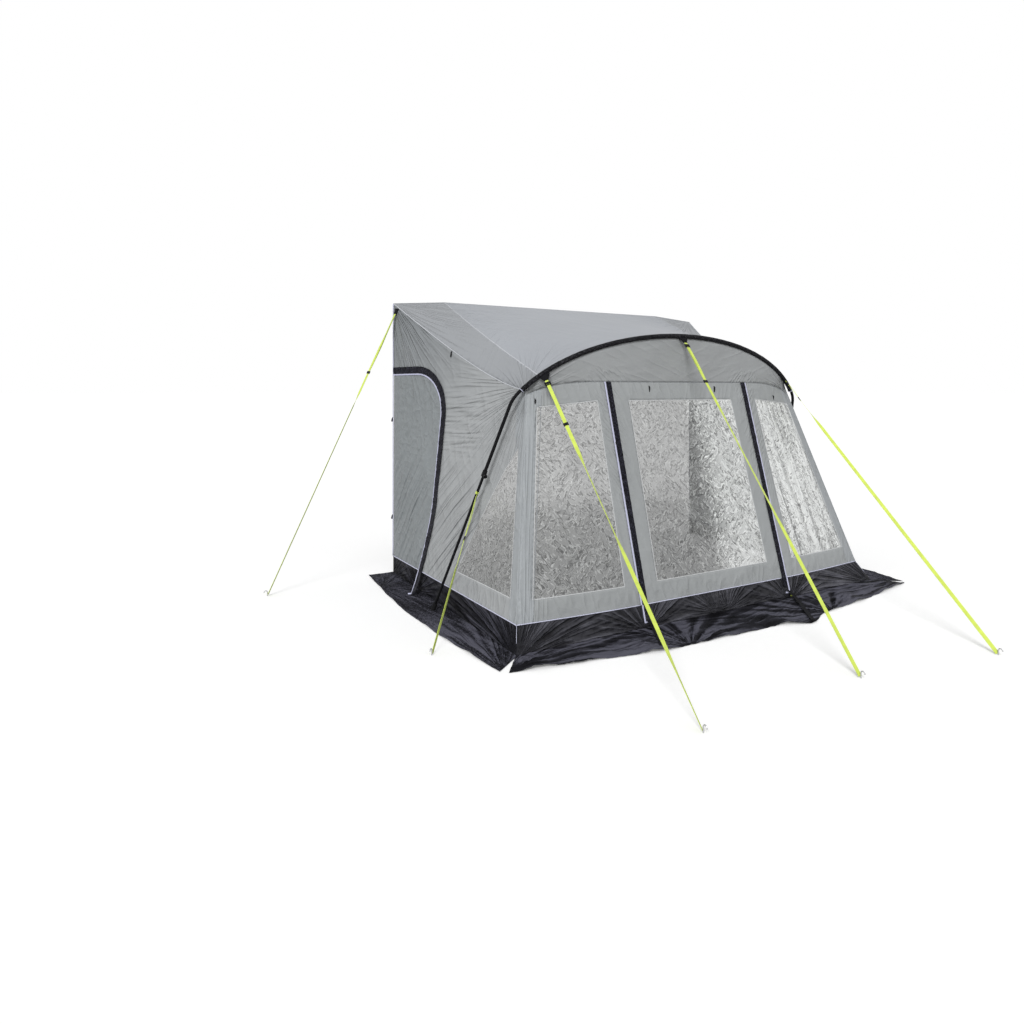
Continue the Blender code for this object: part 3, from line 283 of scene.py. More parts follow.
def corner_y(z):
    if z < PIPING_Z:
        return lerp(GROUND_CORNER_Y, PIPING_CORNER_Y, z / PIPING_Z)
    return lerp(PIPING_CORNER_Y, TOP_CORNER_Y, (z - PIPING_Z) / (TOP_CORNER_Z - PIPING_Z))


def corner_x(z):
    if z < PIPING_Z:
        return lerp(GROUND_CORNER_X, PIPING_CORNER_X, z / PIPING_Z)
    return wall_x(corner_y(z), z)


def corner_line(sign, low, high, steps):
    return [Vector((sign * corner_x(z), corner_y(z), z)) for z in span(low, high, steps)]


def front_y(x, z):
    bow = clamp((abs(x) - ZIP_X) / (corner_x(z) - ZIP_X)) ** BOW_POWER
    return lerp(GROUND_FRONT_Y + FRONT_LEAN * z, corner_y(z), bow)


def header_z(x):
    run = clamp((abs(x) - ZIP_X) / (corner_x(HEADER_CORNER_Z) - ZIP_X))
    return lerp(HEADER_Z, HEADER_CORNER_Z, run ** HEADER_POWER)


def header_y(x, z):
    low, high = header_z(x), arch_z(min(abs(x), SLEEVE_END_X))
    plain = lerp(front_y(x, low), hoop_y(high), (z - low) / (high - low))
    corner = clamp((abs(x) - SHOULDER_X) / (corner_x(z) - SHOULDER_X))
    return lerp(plain, corner_y(z), corner)


def header_top_z(x):
    if abs(x) <= SHOULDER_X:
        return arch_z(x) - SLEEVE_SEAM * hypot(1, arch_slope(x))
    run = (abs(x) - SHOULDER_X) / (TOP_CORNER_X - SHOULDER_X)
    return lerp(header_top_z(SHOULDER_X), TOP_CORNER_Z, run)


def side_seam_z(y):
    run = clamp(1 - y / TOP_CORNER_Y) ** SEAM_POWER
    return lerp(TOP_CORNER_Z, RAIL_HEIGHT - RAIL_CORNER_DROP, run)


def side_seam_x(y):
    return wall_x(y, side_seam_z(y))


def bulge(share):
    return 4 * share * (1 - share)


def roof_z(x, y):
    inner = min(abs(x), SHOULDER_X)
    run = y / hoop_y(arch_z(inner))
    plain = lerp(RAIL_HEIGHT, arch_z(inner), run) - ROOF_SAG * bulge(run)
    if abs(x) <= SHOULDER_X:
        return plain
    out = (abs(x) - SHOULDER_X) / (side_seam_x(y) - SHOULDER_X)
    return lerp(plain, side_seam_z(y), out) + SHOULDER_CROWN * bulge(out) * bulge(run)


def roof_front_y(x):
    end = hoop_y(arch_z(x))
    return end * (1 - SLEEVE_SEAM / hypot(end, RAIL_HEIGHT - arch_z(x)))


def front_face(x, z):
    return Vector((x, front_y(x, z), z))


def header_face(x, z):
    return Vector((x, header_y(x, z), z))


def roof_face(x, y):
    return Vector((x, y, roof_z(x, y)))


def side_face(sign, along_x):
    """The face of one side wall or mud wall, from its distance along x."""
    return lambda y, z: Vector((sign * along_x(y, z), y, z))


def off_face(face, out, u, v, lift):
    """A point lifted off a face along its normal, on the side that out points to."""
    step = 0.002
    along = face(u + step, v) - face(u - step, v)
    across = face(u, v + step) - face(u, v - step)
    normal = along.cross(across).normalized()
    if normal.dot(Vector(out)) < 0:
        normal = -normal
    return face(u, v) + normal * lift, normal


def hung(face, out, places, lift):
    """Points off a face, each with the normal there."""
    return [off_face(face, out, u, v, lift) for u, v in places]


def lifted(face, out, places, lift):
    return [spot for spot, _ in hung(face, out, places, lift)]


# Materials: procedural, on object coordinates

class Value:
    """What a socket gives; sums and products of it are maths nodes."""

    def __init__(self, nodes, socket):
        self.nodes, self.socket = nodes, socket


for _word, _operation in {"add": "ADD", "radd": "ADD", "mul": "MULTIPLY", "rmul": "MULTIPLY",
                          "sub": "SUBTRACT", "truediv": "DIVIDE", "pow": "POWER",
                          "abs": "ABSOLUTE"}.items():
    setattr(Value, "__%s__" % _word, lambda value, *others, operation=_operation:
            value.nodes.maths(operation, value, *others))
Value.__rsub__ = lambda value, other: value.nodes.maths("SUBTRACT", other, value)


class Nodes:
    """The node tree of a material or world, with short ways to add and join nodes."""

    def __init__(self, owner):
        owner.use_nodes = True
        self.owner, self.tree = owner, owner.node_tree

    @functools.cached_property
    def coords(self):
        return self.add("TexCoord", "Object")

    def put(self, socket, value):
        """Join a value to a socket, or set a plain number, place or colour on it."""
        if isinstance(value, Value):
            self.tree.links.new(value.socket, socket)
        else:
            socket.default_value = value

    def node(self, kind, settings=(), **sockets):
        made = self.tree.nodes.new("ShaderNode" + kind)
        for key, value in dict(settings).items():
            setattr(made, key, value)
        for key, value in sockets.items():
            self.put(made.inputs[key.replace("_", " ")], value)
        return made

    def add(self, kind, out, settings=(), **sockets):
        return Value(self, self.node(kind, settings, **sockets).outputs[out])

    def maths(self, operation, *values):
        made = self.node("Math", {"operation": operation})
        for socket, value in zip(made.inputs, values):
            self.put(socket, value)
        return Value(self, made.outputs[0])

    def split(self):
        made = self.node("SeparateXYZ", Vector=self.coords)
        return [Value(self, out) for out in made.outputs]

    def mapped(self, scale, turn=(0, 0, 0), vector=None):
        return self.add("Mapping", "Vector", Vector=vector or self.coords, Scale=scale,
                        Rotation=turn)

    def slanted(self, axis, degrees, across, along):
        """Places turned within a film and stretched along that slant."""
        turned = self.add("VectorRotate", "Vector", {"rotation_type": axis},
                          Vector=self.coords, Angle=radians(degrees))
        scale = (across, 2, along) if axis == "Y_AXIS" else (2, across, along)
        return self.mapped(scale, vector=turned)

    def noise(self, scale, detail=4, rough=0.5, vector=None, distortion=0):
        return self.add("TexNoise", "Fac", Vector=vector or self.coords, Scale=scale,
                        Detail=detail, Roughness=rough, Distortion=distortion)

    def wave(self, scale, direction, vector=None):
        return self.add("TexWave", "Fac", {"bands_direction": direction},
                        Vector=vector or self.coords, Scale=scale)

    def range(self, value, low, high):
        return self.add("MapRange", "Result", Value=value, To_Min=low, To_Max=high)

    def smooth_step(self, value, low, high):
        """Nothing at low, one at high, smooth between them."""
        return self.add("MapRange", "Result", {"interpolation_type": "SMOOTHSTEP"},
                        Value=value, From_Min=low, From_Max=high)

    def thread(self, value, middle, sharp, power=1.4):
        """A narrow line where a smooth value passes through its middle."""
        return (1 - self.maths("MINIMUM", 1, abs(value - middle) * sharp)) ** power

    def length(self, a, b):
        return self.maths("SQRT", a * a + b * b)

    def ramp(self, value, stops):
        made = self.node("ValToRGB", Fac=value)
        first, last = made.color_ramp.elements
        first.position, last.position = stops[0][0], stops[-1][0]
        first.color, last.color = (*stops[0][1], 1), (*stops[-1][1], 1)
        for place, colour in stops[1:-1]:
            made.color_ramp.elements.new(place).color = (*colour, 1)
        return Value(self, made.outputs["Color"])

    def bump(self, height, distance, strength=1, **before):
        return self.add("Bump", "Normal", Height=height, Distance=distance, Strength=strength,
                        **before)

    def mix(self, share, a, b, blend="MIX"):
        return self.add("Mix", "Result", {"data_type": "RGBA", "blend_type": blend},
                        Factor=share, A=a, B=b)

    def seen(self):
        """One where the camera looks, straight, in gloss or through film, and else nothing."""
        rays = self.node("LightPath").outputs
        seen, *others = [Value(self, rays["Is %s Ray" % kind])
                         for kind in ("Camera", "Glossy", "Transmission")]
        for other in others:
            seen = self.maths("MAXIMUM", seen, other)
        return seen

    def shade(self, **sockets):
        """Set the shader's sockets and give the material."""
        for key, value in sockets.items():
            self.put(self.tree.nodes["Principled BSDF"].inputs[key.replace("_", " ")], value)
        return self.owner


def new_material(name):
    return Nodes(bpy.data.materials.new(name))


class Folds:
    """Height of a panel's folds in metres, added up from its place across, along and up."""

    def __init__(self, n, kinds, draw):
        x, y, z = n.split()
        places = {"x": abs(x), "y": y - SHIFT, "z": z}
        self.n, self.u, self.v = n, places[kinds[0]], places[kinds[1]]
        self.side = n.maths("SIGN", x) * 3.3
        self.total = None
        draw(self)

    def add(self, height, amount, mask):
        part = height * amount
        if mask:
            part = part * mask
        self.total = self.total + part if self.total else part

    def lines(self, across, along, seed, sharp):
        """Narrow raised lines, or broad rounded folds where sharp is zero."""
        place = self.n.add("CombineXYZ", "Vector", X=across, Y=along, Z=self.side + seed)
        if sharp:
            return self.n.thread(self.n.noise(1, 0.6, 0.4, place), 0.5, sharp, 1.6)
        return self.n.smooth_step(self.n.noise(1, 0.8, 0.4, place), 0.32, 0.68)

    def fan(self, centre, count, reach, seed, amount, sharp=6.5):
        """Folds that spread from one point and die away with distance."""
        n = self.n
        du, dv = self.u - centre[0], self.v - centre[1]
        away = n.length(du, dv)
        lines = self.lines(n.maths("ARCTAN2", dv, du) * count, away * 1.7, seed, sharp)
        self.add(lines, amount, n.smooth_step(away, 0, 0.16 * reach)
                 * n.smooth_step(away, reach, 0.3 * reach))

    def streaks(self, direction, spacing, length, seed, amount, mask=None, sharp=6):
        """Folds that run one way, as far apart as spacing."""
        du, dv = (part / hypot(*direction) for part in direction)
        along = self.u * (du / length) + self.v * (dv / length)
        across = self.v * (du / spacing) - self.u * (dv / spacing)
        self.add(self.lines(across, along, seed, sharp), amount, mask)

    def patch(self, centre, half_u, half_v):
        """One in the middle of an oval place and nothing outside it."""
        away = self.n.length((self.u - centre[0]) / half_u, (self.v - centre[1]) / half_v)
        return self.n.smooth_step(away, 1.25, 0.35)

    def by_height(self, low, high):
        return self.n.smooth_step(self.v, low, high)


def roof_folds(f):
    f.fan((RAIL_HALF, 0.03), 15, 1.7, 1, 0.0075)
    f.fan((TOP_CORNER_X + 0.02, TOP_CORNER_Y - 0.05), 13, 0.75, 4, 0.0035)
    f.streaks((1, -0.6), 0.05, 0.25, 7, 0.004, f.patch((SHOULDER_X + 0.02, -0.75), 0.22, 0.75))
    f.streaks((0.25, 1), 0.16, 1, 2, 0.003)


def side_folds(f):
    rising = (-0.72, 0.69)
    f.fan((0.03, RAIL_HEIGHT), 17, 1.35, 1.5, 0.011)
    f.fan((TOP_CORNER_Y - 0.03, TOP_CORNER_Z + 0.03), 18, 1.15, 6.5, 0.006)
    f.streaks((1, -0.06), 0.034, 0.42, 2.5, 0.012, f.patch((-1.02, 1.44), 0.34, 0.36), 0)
    f.streaks(rising, 0.036, 1.3, 8.5, 0.02, f.patch((-1, 0.62), 0.66, 0.54), 0)
    f.streaks(rising, 0.06, 1, 3.5, 0.004, f.patch((-1, 0.62), 0.62, 0.5))
    f.streaks((0.22, 1), 0.05, 0.18, 9.5, 0.004, f.by_height(0.42, 0.24))
    f.streaks((0.5, 1), 0.11, 0.3, 5.5, 0.004)


def door_folds(f):
    f.streaks((1, 0.55), 0.06, 0.11, 3.5, 0.0022, sharp=9)
    f.streaks((-0.5, 1), 0.075, 0.14, 6.2, 0.0026, sharp=9)
    f.streaks((0.1, 1), 0.095, 0.7, 1.2, 0.006, f.by_height(0.55, 1.25))
    f.streaks((-0.55, 0.8), 0.038, 1.3, 2.9, 0.018, f.patch((-0.36, 0.58), 0.44, 0.6), 0)
    f.fan((-0.16, 2.15), 10, 1.2, 0.7, 0.006)


def front_folds(f):
    near_zip = f.n.smooth_step(abs(f.u - ZIP_X), 0.17, 0.03)
    edge = PIPING_CORNER_X + WALL_LEAN * PIPING_Z
    near_edge = f.n.smooth_step(f.u + f.v * WALL_LEAN, edge - 0.26, edge - 0.1)
    f.streaks((0.8, 1), 0.03, 0.13, 5.5, 0.0045, near_zip * f.by_height(0.55, 1.15))
    f.streaks((0.4, 1), 0.065, 0.25, 3.3, 0.0025, f.by_height(1.48, 1.62))
    f.streaks((0.25, 1), 0.085, 0.2, 9.1, 0.004, f.by_height(0.42, 0.22))
    f.streaks((-0.2, 1), 0.032, 0.7, 7.3, 0.004, near_edge)
    f.streaks((0.4, 1), 0.12, 0.25, 1.9, 0.003)


def header_folds(f):
    f.fan((TOP_CORNER_X + 0.02, TOP_CORNER_Z - 0.02), 11, 0.55, 2.2, 0.0045)
    f.streaks((0.8, 1), 0.03, 0.1, 5, 0.0045, f.patch((ZIP_X, HEADER_Z + 0.02), 0.22, 0.12))
    f.streaks((1, 0.3), 0.07, 0.5, 8, 0.002)


def mud_front_folds(f):
    f.fan((GROUND_CORNER_X, -0.02), 24, 1.15, 0.5, 0.018, 0)
    f.fan((GROUND_CORNER_X, -0.02), 22, 0.75, 5.5, 0.008)
    f.fan((ZIP_X, -0.02), 15, 0.65, 3.5, 0.017, 0)
    f.fan((0.05, 0), 11, 0.6, 6.5, 0.014, 0)
    f.streaks((1, 0.1), 0.035, 0.45, 4.5, 0.007, f.by_height(0.09, 0.02))


def mud_side_folds(f):
    f.fan((GROUND_CORNER_Y, -0.02), 30, 1.7, 2.5, 0.018, 0)
    f.fan((GROUND_CORNER_Y, -0.02), 30, 1.3, 5.5, 0.01)
    f.fan((-0.6, -0.02), 16, 0.6, 6.5, 0.015, 0)
    f.fan((0, -0.05), 15, 0.5, 9.5, 0.01)
    f.streaks((1, 0.25), 0.03, 0.35, 8.5, 0.004)


def skirt_side_folds(f):
    f.fan(SKIRT_CORNER, 18, 1.7, 1.5, 0.02, 0)
    f.fan((SKIRT_NOTCH[0] + 0.25, -0.45), 9, 0.7, 4.5, 0.014)
    f.streaks((0.15, 1), 0.05, 0.6, 7.5, 0.01, sharp=0)


def skirt_front_folds(f):
    f.fan(SKIRT_CORNER, 14, 1.6, 3.5, 0.022, 0)
    f.fan(STRAP_END, 8, 0.95, 8.5, 0.022, 0)
    f.streaks((1, 0.15), 0.06, 0.6, 5.5, 0.01)


PANEL_FOLDS = {"roof": ("xy", roof_folds), "side": ("yz", side_folds), "door": ("yz", door_folds),
               "front": ("xz", front_folds), "header": ("xz", header_folds),
               "mud_front": ("xz", mud_front_folds), "mud_side": ("yz", mud_side_folds),
               "skirt_side": ("xy", skirt_side_folds), "skirt_front": ("xy", skirt_front_folds)}


def rear_shade(n, shown):
    """Painted shade: the walls darken towards the top corner by the caravan."""
    _, y, z = n.split()
    share = n.smooth_step(n.length(y - SHIFT, z - RAIL_HEIGHT), 1.75, 0.25)
    return n.mix(share, shown, (0.62, 0.64, 0.66, 1), "MULTIPLY")


def toned(colour, gain):
    return tuple(part * gain for part in colour)


def two_tone(n, value, colour, dark, light, low, high):
    """A ramp between a darker and a lighter tone of one colour."""
    return n.ramp(value, [(low, toned(colour, dark)), (high, toned(colour, light))])


def cloth_material(name, colour, roughness=0.62, sheen=0.08, crease=0.004, weave=420, fade=0.06,
                   specular=0.3, fleck=0, folds=None, fold_shading=0, rear=False, broad=1.1,
                   crest_highlight=0):
    """Coated weave: changes of tone, threads, creases, folds of its panel and pale specks; painted
    shade and highlight on the folds, a painted highlight on fold crests and painted shade towards
    the rear corner.
    """
    n = new_material(name)
    fine = n.noise(75 if fleck else 60, 3, 0.7)
    dark, light = toned(colour, 1 - fade), toned(colour, 1 + fade)
    if fleck:
        tone = fine * 0.5 + n.noise(150, 2, 0.7) * 0.5
        stops = [(0.4, dark), (0.53, light), (0.62, toned(colour, fleck))]
    else:
        tone = n.noise(broad, 3, 0.6) * 0.75 + fine * 0.25
        stops = [(0.3, dark), (0.7, light)]
    # Painted highlight: the top of the ramp is much lighter, so the highest tones, mostly on fold
    # crests, shine.
    if crest_highlight:
        stops.append((0.98, toned(colour, crest_highlight)))
    stretched = n.noise(3.4, 4, 0.5, n.mapped((1, 1, 2.2), (0, 0.5, 0.3)), 0.5)
    small = n.noise(15, 3, 0.55, n.mapped((1, 1, 1.8), (0.3, 0.2, 0.6)), 0.6)
    threads = n.bump(n.wave(weave, "DIAGONAL") * n.wave(weave, "Z"), 0.0001, 0.3)
    height = small * (crease * 0.5) + stretched * (crease * 1.6)
    if folds:
        raised = Folds(n, *PANEL_FOLDS[folds]).total
        height = height + raised
        # Painted shade and highlight: this factor makes the colour lighter on raised folds and
        # darker in their hollows.
        tone = tone - fold_shading * FOLD_MEAN + raised * fold_shading
    shown = n.ramp(tone, stops)
    # Painted shade: darker towards the top corner by the caravan.
    if rear:
        shown = rear_shade(n, shown)
    return n.shade(Base_Color=shown, Roughness=roughness, Sheen_Weight=sheen,
                   Specular_IOR_Level=specular, Normal=n.bump(height, 1, Normal=threads))


def film_material(name, axis, veil, cover, glare=None, drapes=0):
    """Clear soft film, crumpled into short crossing creases, with painted glints along some and
    painted shade along others; glare brightens it along x as painted light, and drapes add painted
    light and shade along hanging folds.
    """
    n = new_material(name)
    first = n.noise(1, 1.2, 0.5, n.slanted(axis, 38, 50, 19), 0.5)
    second = n.noise(1, 1.2, 0.5, n.slanted(axis, -50, 46, 20), 0.5)
    where = n.smooth_step(n.noise(6, 1, 0.5), 0.42, 0.58)
    # Painted highlights and shade: the pale creases are painted glints, the dark creases painted
    # shade.
    pale, dark = (n.thread(first, middle, sharp) * (1 - where)
                  + n.thread(second, middle, sharp) * where
                  for middle, sharp in ((0.53, 16), (0.44, 14)))
    soft = n.noise(1, 2, 0.5, n.slanted(axis, 12, 3.2, 1.3), 0.4)
    height = pale * 0.0018 + soft * 0.05
    tone = n.range(soft, 0.74, 1.26) * veil
    if glare:
        low, high, gain = glare
        tone = tone * (1 + n.smooth_step(n.split()[0], low, high) * gain)
    if drapes:
        hang = n.noise(1, 1.5, 0.5, n.slanted(axis, 9, 15, 0.8), 0.3)
        # Painted light and shade in bands along the hanging folds.
        tone = tone * n.range(n.smooth_step(hang, 0.36, 0.62), 0.62, 1.2)
        height = height + hang * drapes
    tone = tone * (1 + pale * 1.45) * (1 - dark * 0.85)
    colour = n.ramp(tone, [(0, (0, 0, 0)), (1, (0.98, 1, 0.99))])
    return n.shade(Base_Color=colour, Roughness=0.22, Specular_IOR_Level=0.45,
                   Normal=n.bump(height, 1), Alpha=cover + (pale + dark) * 0.14)


def plastic_material(name, colour, roughness=0.45, grain=900):
    n = new_material(name)
    rough = n.range(n.noise(220, 2, 0.5), roughness * 0.85, min(1, roughness * 1.2))
    return n.shade(Base_Color=two_tone(n, n.noise(30, 3, 0.6), colour, 0.85, 1.25, 0.35, 0.65),
                   Roughness=rough, Specular_IOR_Level=0.15,
                   Normal=n.bump(n.noise(grain, 2, 0.5), 0.0001, 0.3))


def metal_material(name, colour, roughness, metallic, specular=0.5):
    n = new_material(name)
    lines = n.noise(60, 4, 0.7, n.mapped((1, 1, 0.08)))
    return n.shade(Base_Color=two_tone(n, lines, colour, 0.82, 1.15, 0.3, 0.7), Metallic=metallic,
                   Specular_IOR_Level=specular, Normal=n.bump(lines, 0.0002, 0.25),
                   Roughness=n.range(lines, roughness * 0.8, min(1, roughness * 1.3)))


def webbing_material(name, colour, specular=0.3, sheen=0.2):
    """Woven webbing: ribs across it, drawn on the strip's own UV map."""
    n = new_material(name)
    uv = n.add("UVMap", "UV", {"uv_map": "strip"})
    ribs = n.wave(1, "X", uv)
    tone = ribs * 0.35 + n.noise(25) * 0.65
    return n.shade(Base_Color=two_tone(n, tone, colour, 0.78, 1.12, 0.25, 0.75), Roughness=0.7,
                   Sheen_Weight=sheen, Specular_IOR_Level=specular,
                   Normal=n.bump(ribs + n.wave(0.5, "Y", uv), 0.0004, 0.6))


BAND_GREY = (0.35, 0.37, 0.385)
FELT = (0.011, 0.011, 0.014)
NARROW = {"crease": 0.001, "weave": 900}
CLOTHS = {
    "roof": ("roof_weave", (0.35, 0.367, 0.395), dict(crease=0.003, fade=0.04, folds="roof")),
    # Painted shade: the shoulders are the roof's cloth made darker.
    "shoulder": ("roof_shoulder_shaded_weave", (0.3, 0.313, 0.33),
                 dict(crease=0.003, fade=0.04, folds="roof")),
    "wall": ("wall_weave", (0.33, 0.345, 0.35), dict(folds="front")),
    # Painted light: the header is the walls' cloth made lighter, against the arch's shade on it.
    "header": ("header_lightened_weave", (0.375, 0.388, 0.394), dict(folds="header")),
    # Painted light: the side walls are the walls' cloth made lighter, as they get less light; rear
    # adds painted shade.
    "side": ("side_lightened_weave", (0.365, 0.378, 0.385), dict(folds="side", fold_shading=3, rear=True)),
    "door": ("door_weave", (0.242, 0.262, 0.272), dict(folds="door", fold_shading=3)),
    "band": ("band_weave", BAND_GREY, dict(folds="front")),
    "side_band": ("side_band_weave", BAND_GREY, dict(folds="side")),
    "seam": ("seam_tape", (0.3, 0.315, 0.33), NARROW),
    "pale_seam": ("roof_seam_tape", (0.5, 0.515, 0.545), NARROW),
    # Painted light and shade: the front and side mud walls are one charcoal cloth, lighter at the
    # front and darker at the sides.
    "dark_front": ("mud_front_cloth", (0.028, 0.028, 0.033), dict(
        roughness=0.4, sheen=0, crease=0.008, fade=0.7, specular=0.12, fold_shading=26,
        folds="mud_front", broad=4, crest_highlight=3.6)),
    "dark_side": ("mud_side_cloth", (0.011, 0.011, 0.014), dict(
        roughness=0.45, sheen=0, crease=0.008, fade=0.75, specular=0.07, fold_shading=28,
        folds="mud_side", broad=3, crest_highlight=5.5)),
    "skirt_front": ("skirt_front_felt", FELT, dict(
        roughness=0.6, sheen=0, crease=0.006, weave=160, fade=0.8, specular=0.05,
        fold_shading=32, folds="skirt_front", broad=4, crest_highlight=8)),
    "skirt_side": ("skirt_side_felt", FELT, dict(
        roughness=0.75, sheen=0, weave=160, fade=0.7, specular=0.05, fleck=9, fold_shading=8,
        folds="skirt_side")),
    "flap": ("flap_cloth", (0.007, 0.007, 0.01), dict(
        roughness=0.5, sheen=0, crease=0.014, fade=0.3, specular=0.06, fleck=7)),
    "sleeve": ("sleeve_weave", (0.007, 0.007, 0.008), dict(
        roughness=0.6, sheen=0, crease=0.01, fade=0.3, specular=0.06, fleck=9)),
    "tape": ("tape_weave", (0.56, 0.57, 0.74), dict(roughness=0.6, crease=0.002, weave=900)),
    "piping": ("piping_weave", (0.62, 0.63, 0.78), dict(roughness=0.5, **NARROW)),
    "weld": ("weld_rim", (0.6, 0.61, 0.62), dict(roughness=0.35, **NARROW)),
}
LOOK = {word: cloth_material(name, colour, **more)
        for word, (name, colour, more) in CLOTHS.items()}
LOOK |= {
    "film_left": film_material("window_sheet", "Y_AXIS", 0.225, 0.72),
    "film_centre": film_material("centre_window_sheet", "Y_AXIS", 0.21, 0.72,
                                 glare=(-0.05, 0.34, 2.8)),
    # Painted light: the right front film is near white, for light showing through it.
    "film_right": film_material("bright_window_sheet", "Y_AXIS", 0.98, 0.74, drapes=0.05),
    "film_side": film_material("side_window_sheet", "X_AXIS", 0.2, 0.7),
    "black": plastic_material("buckle_plastic", (0.006, 0.006, 0.007)),
    "tube": metal_material("tube_coat", (0.005, 0.005, 0.006), 0.5, 0, specular=0.1),
    "rubber": plastic_material("foot_rubber", (0.008, 0.008, 0.009), 0.8, 400),
    "steel": metal_material("peg_metal", (0.55, 0.55, 0.56), 0.32, 1),
    "slider": metal_material("slider_metal", (0.42, 0.42, 0.45), 0.35, 1),
    "web": webbing_material("guy_webbing_weave", (0.68, 0.82, 0.13)),
    "black_web": webbing_material("black_webbing_weave", (0.008, 0.008, 0.01), 0.1, 0),
}

# Looks of the solids that show as they are, by the start of their names
NODE_LOOKS = {
    "rail_bead": "roof", "arch_crown": "tube", "arch_elbow_": "tube", "leg_upper_": "tube",
    "leg_lower_": "tube", "leg_clamp_": "black", "clamp_knob_": "black", "foot_": "rubber",
    "rafter_": "tube", "guy_runner_": "black", "peg_": "steel", "zip_slider_": "slider",
}


# Meshes

def moved(point):
    return (point[0], point[1] + SHIFT, point[2])


def corners_at(build, places):
    return [build.verts.new(moved(place)) for place in places]


def into_scene(name, data):
    made = bpy.data.objects.new(name, data)
    bpy.context.scene.collection.objects.link(made)
    return made


def finish_piece(build, name, look, body=ROOT, replaces="", second=None,
                 recalc=True, flat=False):
    """Make a built mesh a piece with its look and body."""
    if recalc:
        bmesh.ops.recalc_face_normals(build, faces=build.faces)
    mesh = bpy.data.meshes.new(name)
    build.to_mesh(mesh)
    build.free()
    (mesh.shade_flat if flat else mesh.shade_smooth)()
    piece = into_scene(name, mesh)
    for word in filter(None, (look, second)):
        mesh.materials.append(LOOK[word])
    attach(piece, body)
    if replaces:
        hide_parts(*replaces.split())
    return piece


def thicken(piece, thickness, offset):
    shell = piece.modifiers.new("thickness", "SOLIDIFY")
    shell.thickness, shell.offset = thickness, offset


def join_rings(build, rings, closed=True):
    """Four-sided faces from each ring of points to the next, each with its place."""
    faces = []
    for index, (ring, after) in enumerate(zip(rings, rings[1:])):
        for k in range(len(ring) if closed else len(ring) - 1):
            near = (k + 1) % len(ring)
            faces.append((build.faces.new((ring[k], ring[near], after[near], after[k])), index, k))
    return faces


def close_ends(build, rings):
    build.faces.new(rings[0][::-1])
    build.faces.new(rings[-1])


def around(spot, one, two, radius, sides):
    """A ring of points round a spot, across two directions."""
    return [spot + one * (radius * a) + two * (radius * b)
            for a, b in turns(0, 2 * pi, sides)[:-1]]


def cut_up(loop, step):
    dense = []
    for a, b in zip(loop, loop[1:] + loop[:1]):
        pieces = max(1, ceil(dist(a, b) / step))
        dense += [(lerp(a[0], b[0], at / pieces), lerp(a[1], b[1], at / pieces))
                  for at in range(pieces)]
    return dense


def within(points, loops):
    """Which points lie inside the first outline and outside the holes in it."""
    hits = np.zeros(len(points), bool)
    for loop in loops:
        for (ax, ay), (bx, by) in zip(loop, np.roll(loop, -1, axis=0)):
            if ay != by:
                cross = ax + (points[:, 1] - ay) / (by - ay) * (bx - ax)
                hits ^= ((ay > points[:, 1]) != (by > points[:, 1])) & (points[:, 0] < cross)
    return hits


def edge_distance(points, loops):
    """Distance of each point to the nearest side of the outlines."""
    best = np.full(len(points), np.inf)
    for loop in loops:
        for start, side in zip(np.array(loop), np.roll(loop, -1, axis=0) - loop):
            share = ((points - start) @ side) / max(side @ side, FINE * FINE)
            away = points - start - np.clip(share, 0, 1)[:, None] * side
            best = np.minimum(best, np.linalg.norm(away, axis=1))
    return best


def flat_mesh(loops, step):
    """Points and triangles that fill the first outline, less its holes."""
    edges, points = [], []
    for loop in loops:
        first = len(points)
        points += [Vector(point) for point in loop]
        edges += [(first + at, first + (at + 1) % len(loop)) for at in range(len(loop))]
    low, high = np.min(loops[0], axis=0), np.max(loops[0], axis=0)
    grid, row, odd = [], low[1] + step / 2, False
    while row < high[1]:
        grid += [(x + (step / 2 if odd else 0), row) for x in np.arange(low[0], high[0], step)]
        row, odd = row + step * 0.866, not odd
    grid = np.array(grid)
    grid = grid[within(grid, loops)]
    grid = grid[edge_distance(grid, loops) > step * 0.45]
    points += [Vector(spot) for spot in grid]
    spots, _, faces, *_ = geometry.delaunay_2d_cdt(points, edges, [], 0, FINE)
    spots = np.array([tuple(spot) for spot in spots])
    faces = np.array([tuple(face) for face in faces])
    a, b, c = (spots[faces[:, k]] for k in range(3))
    size = np.abs((b - a)[:, 0] * (c - a)[:, 1] - (b - a)[:, 1] * (c - a)[:, 0])
    return spots, faces[within(spots[faces].mean(axis=1), loops) & (size > FINE)]


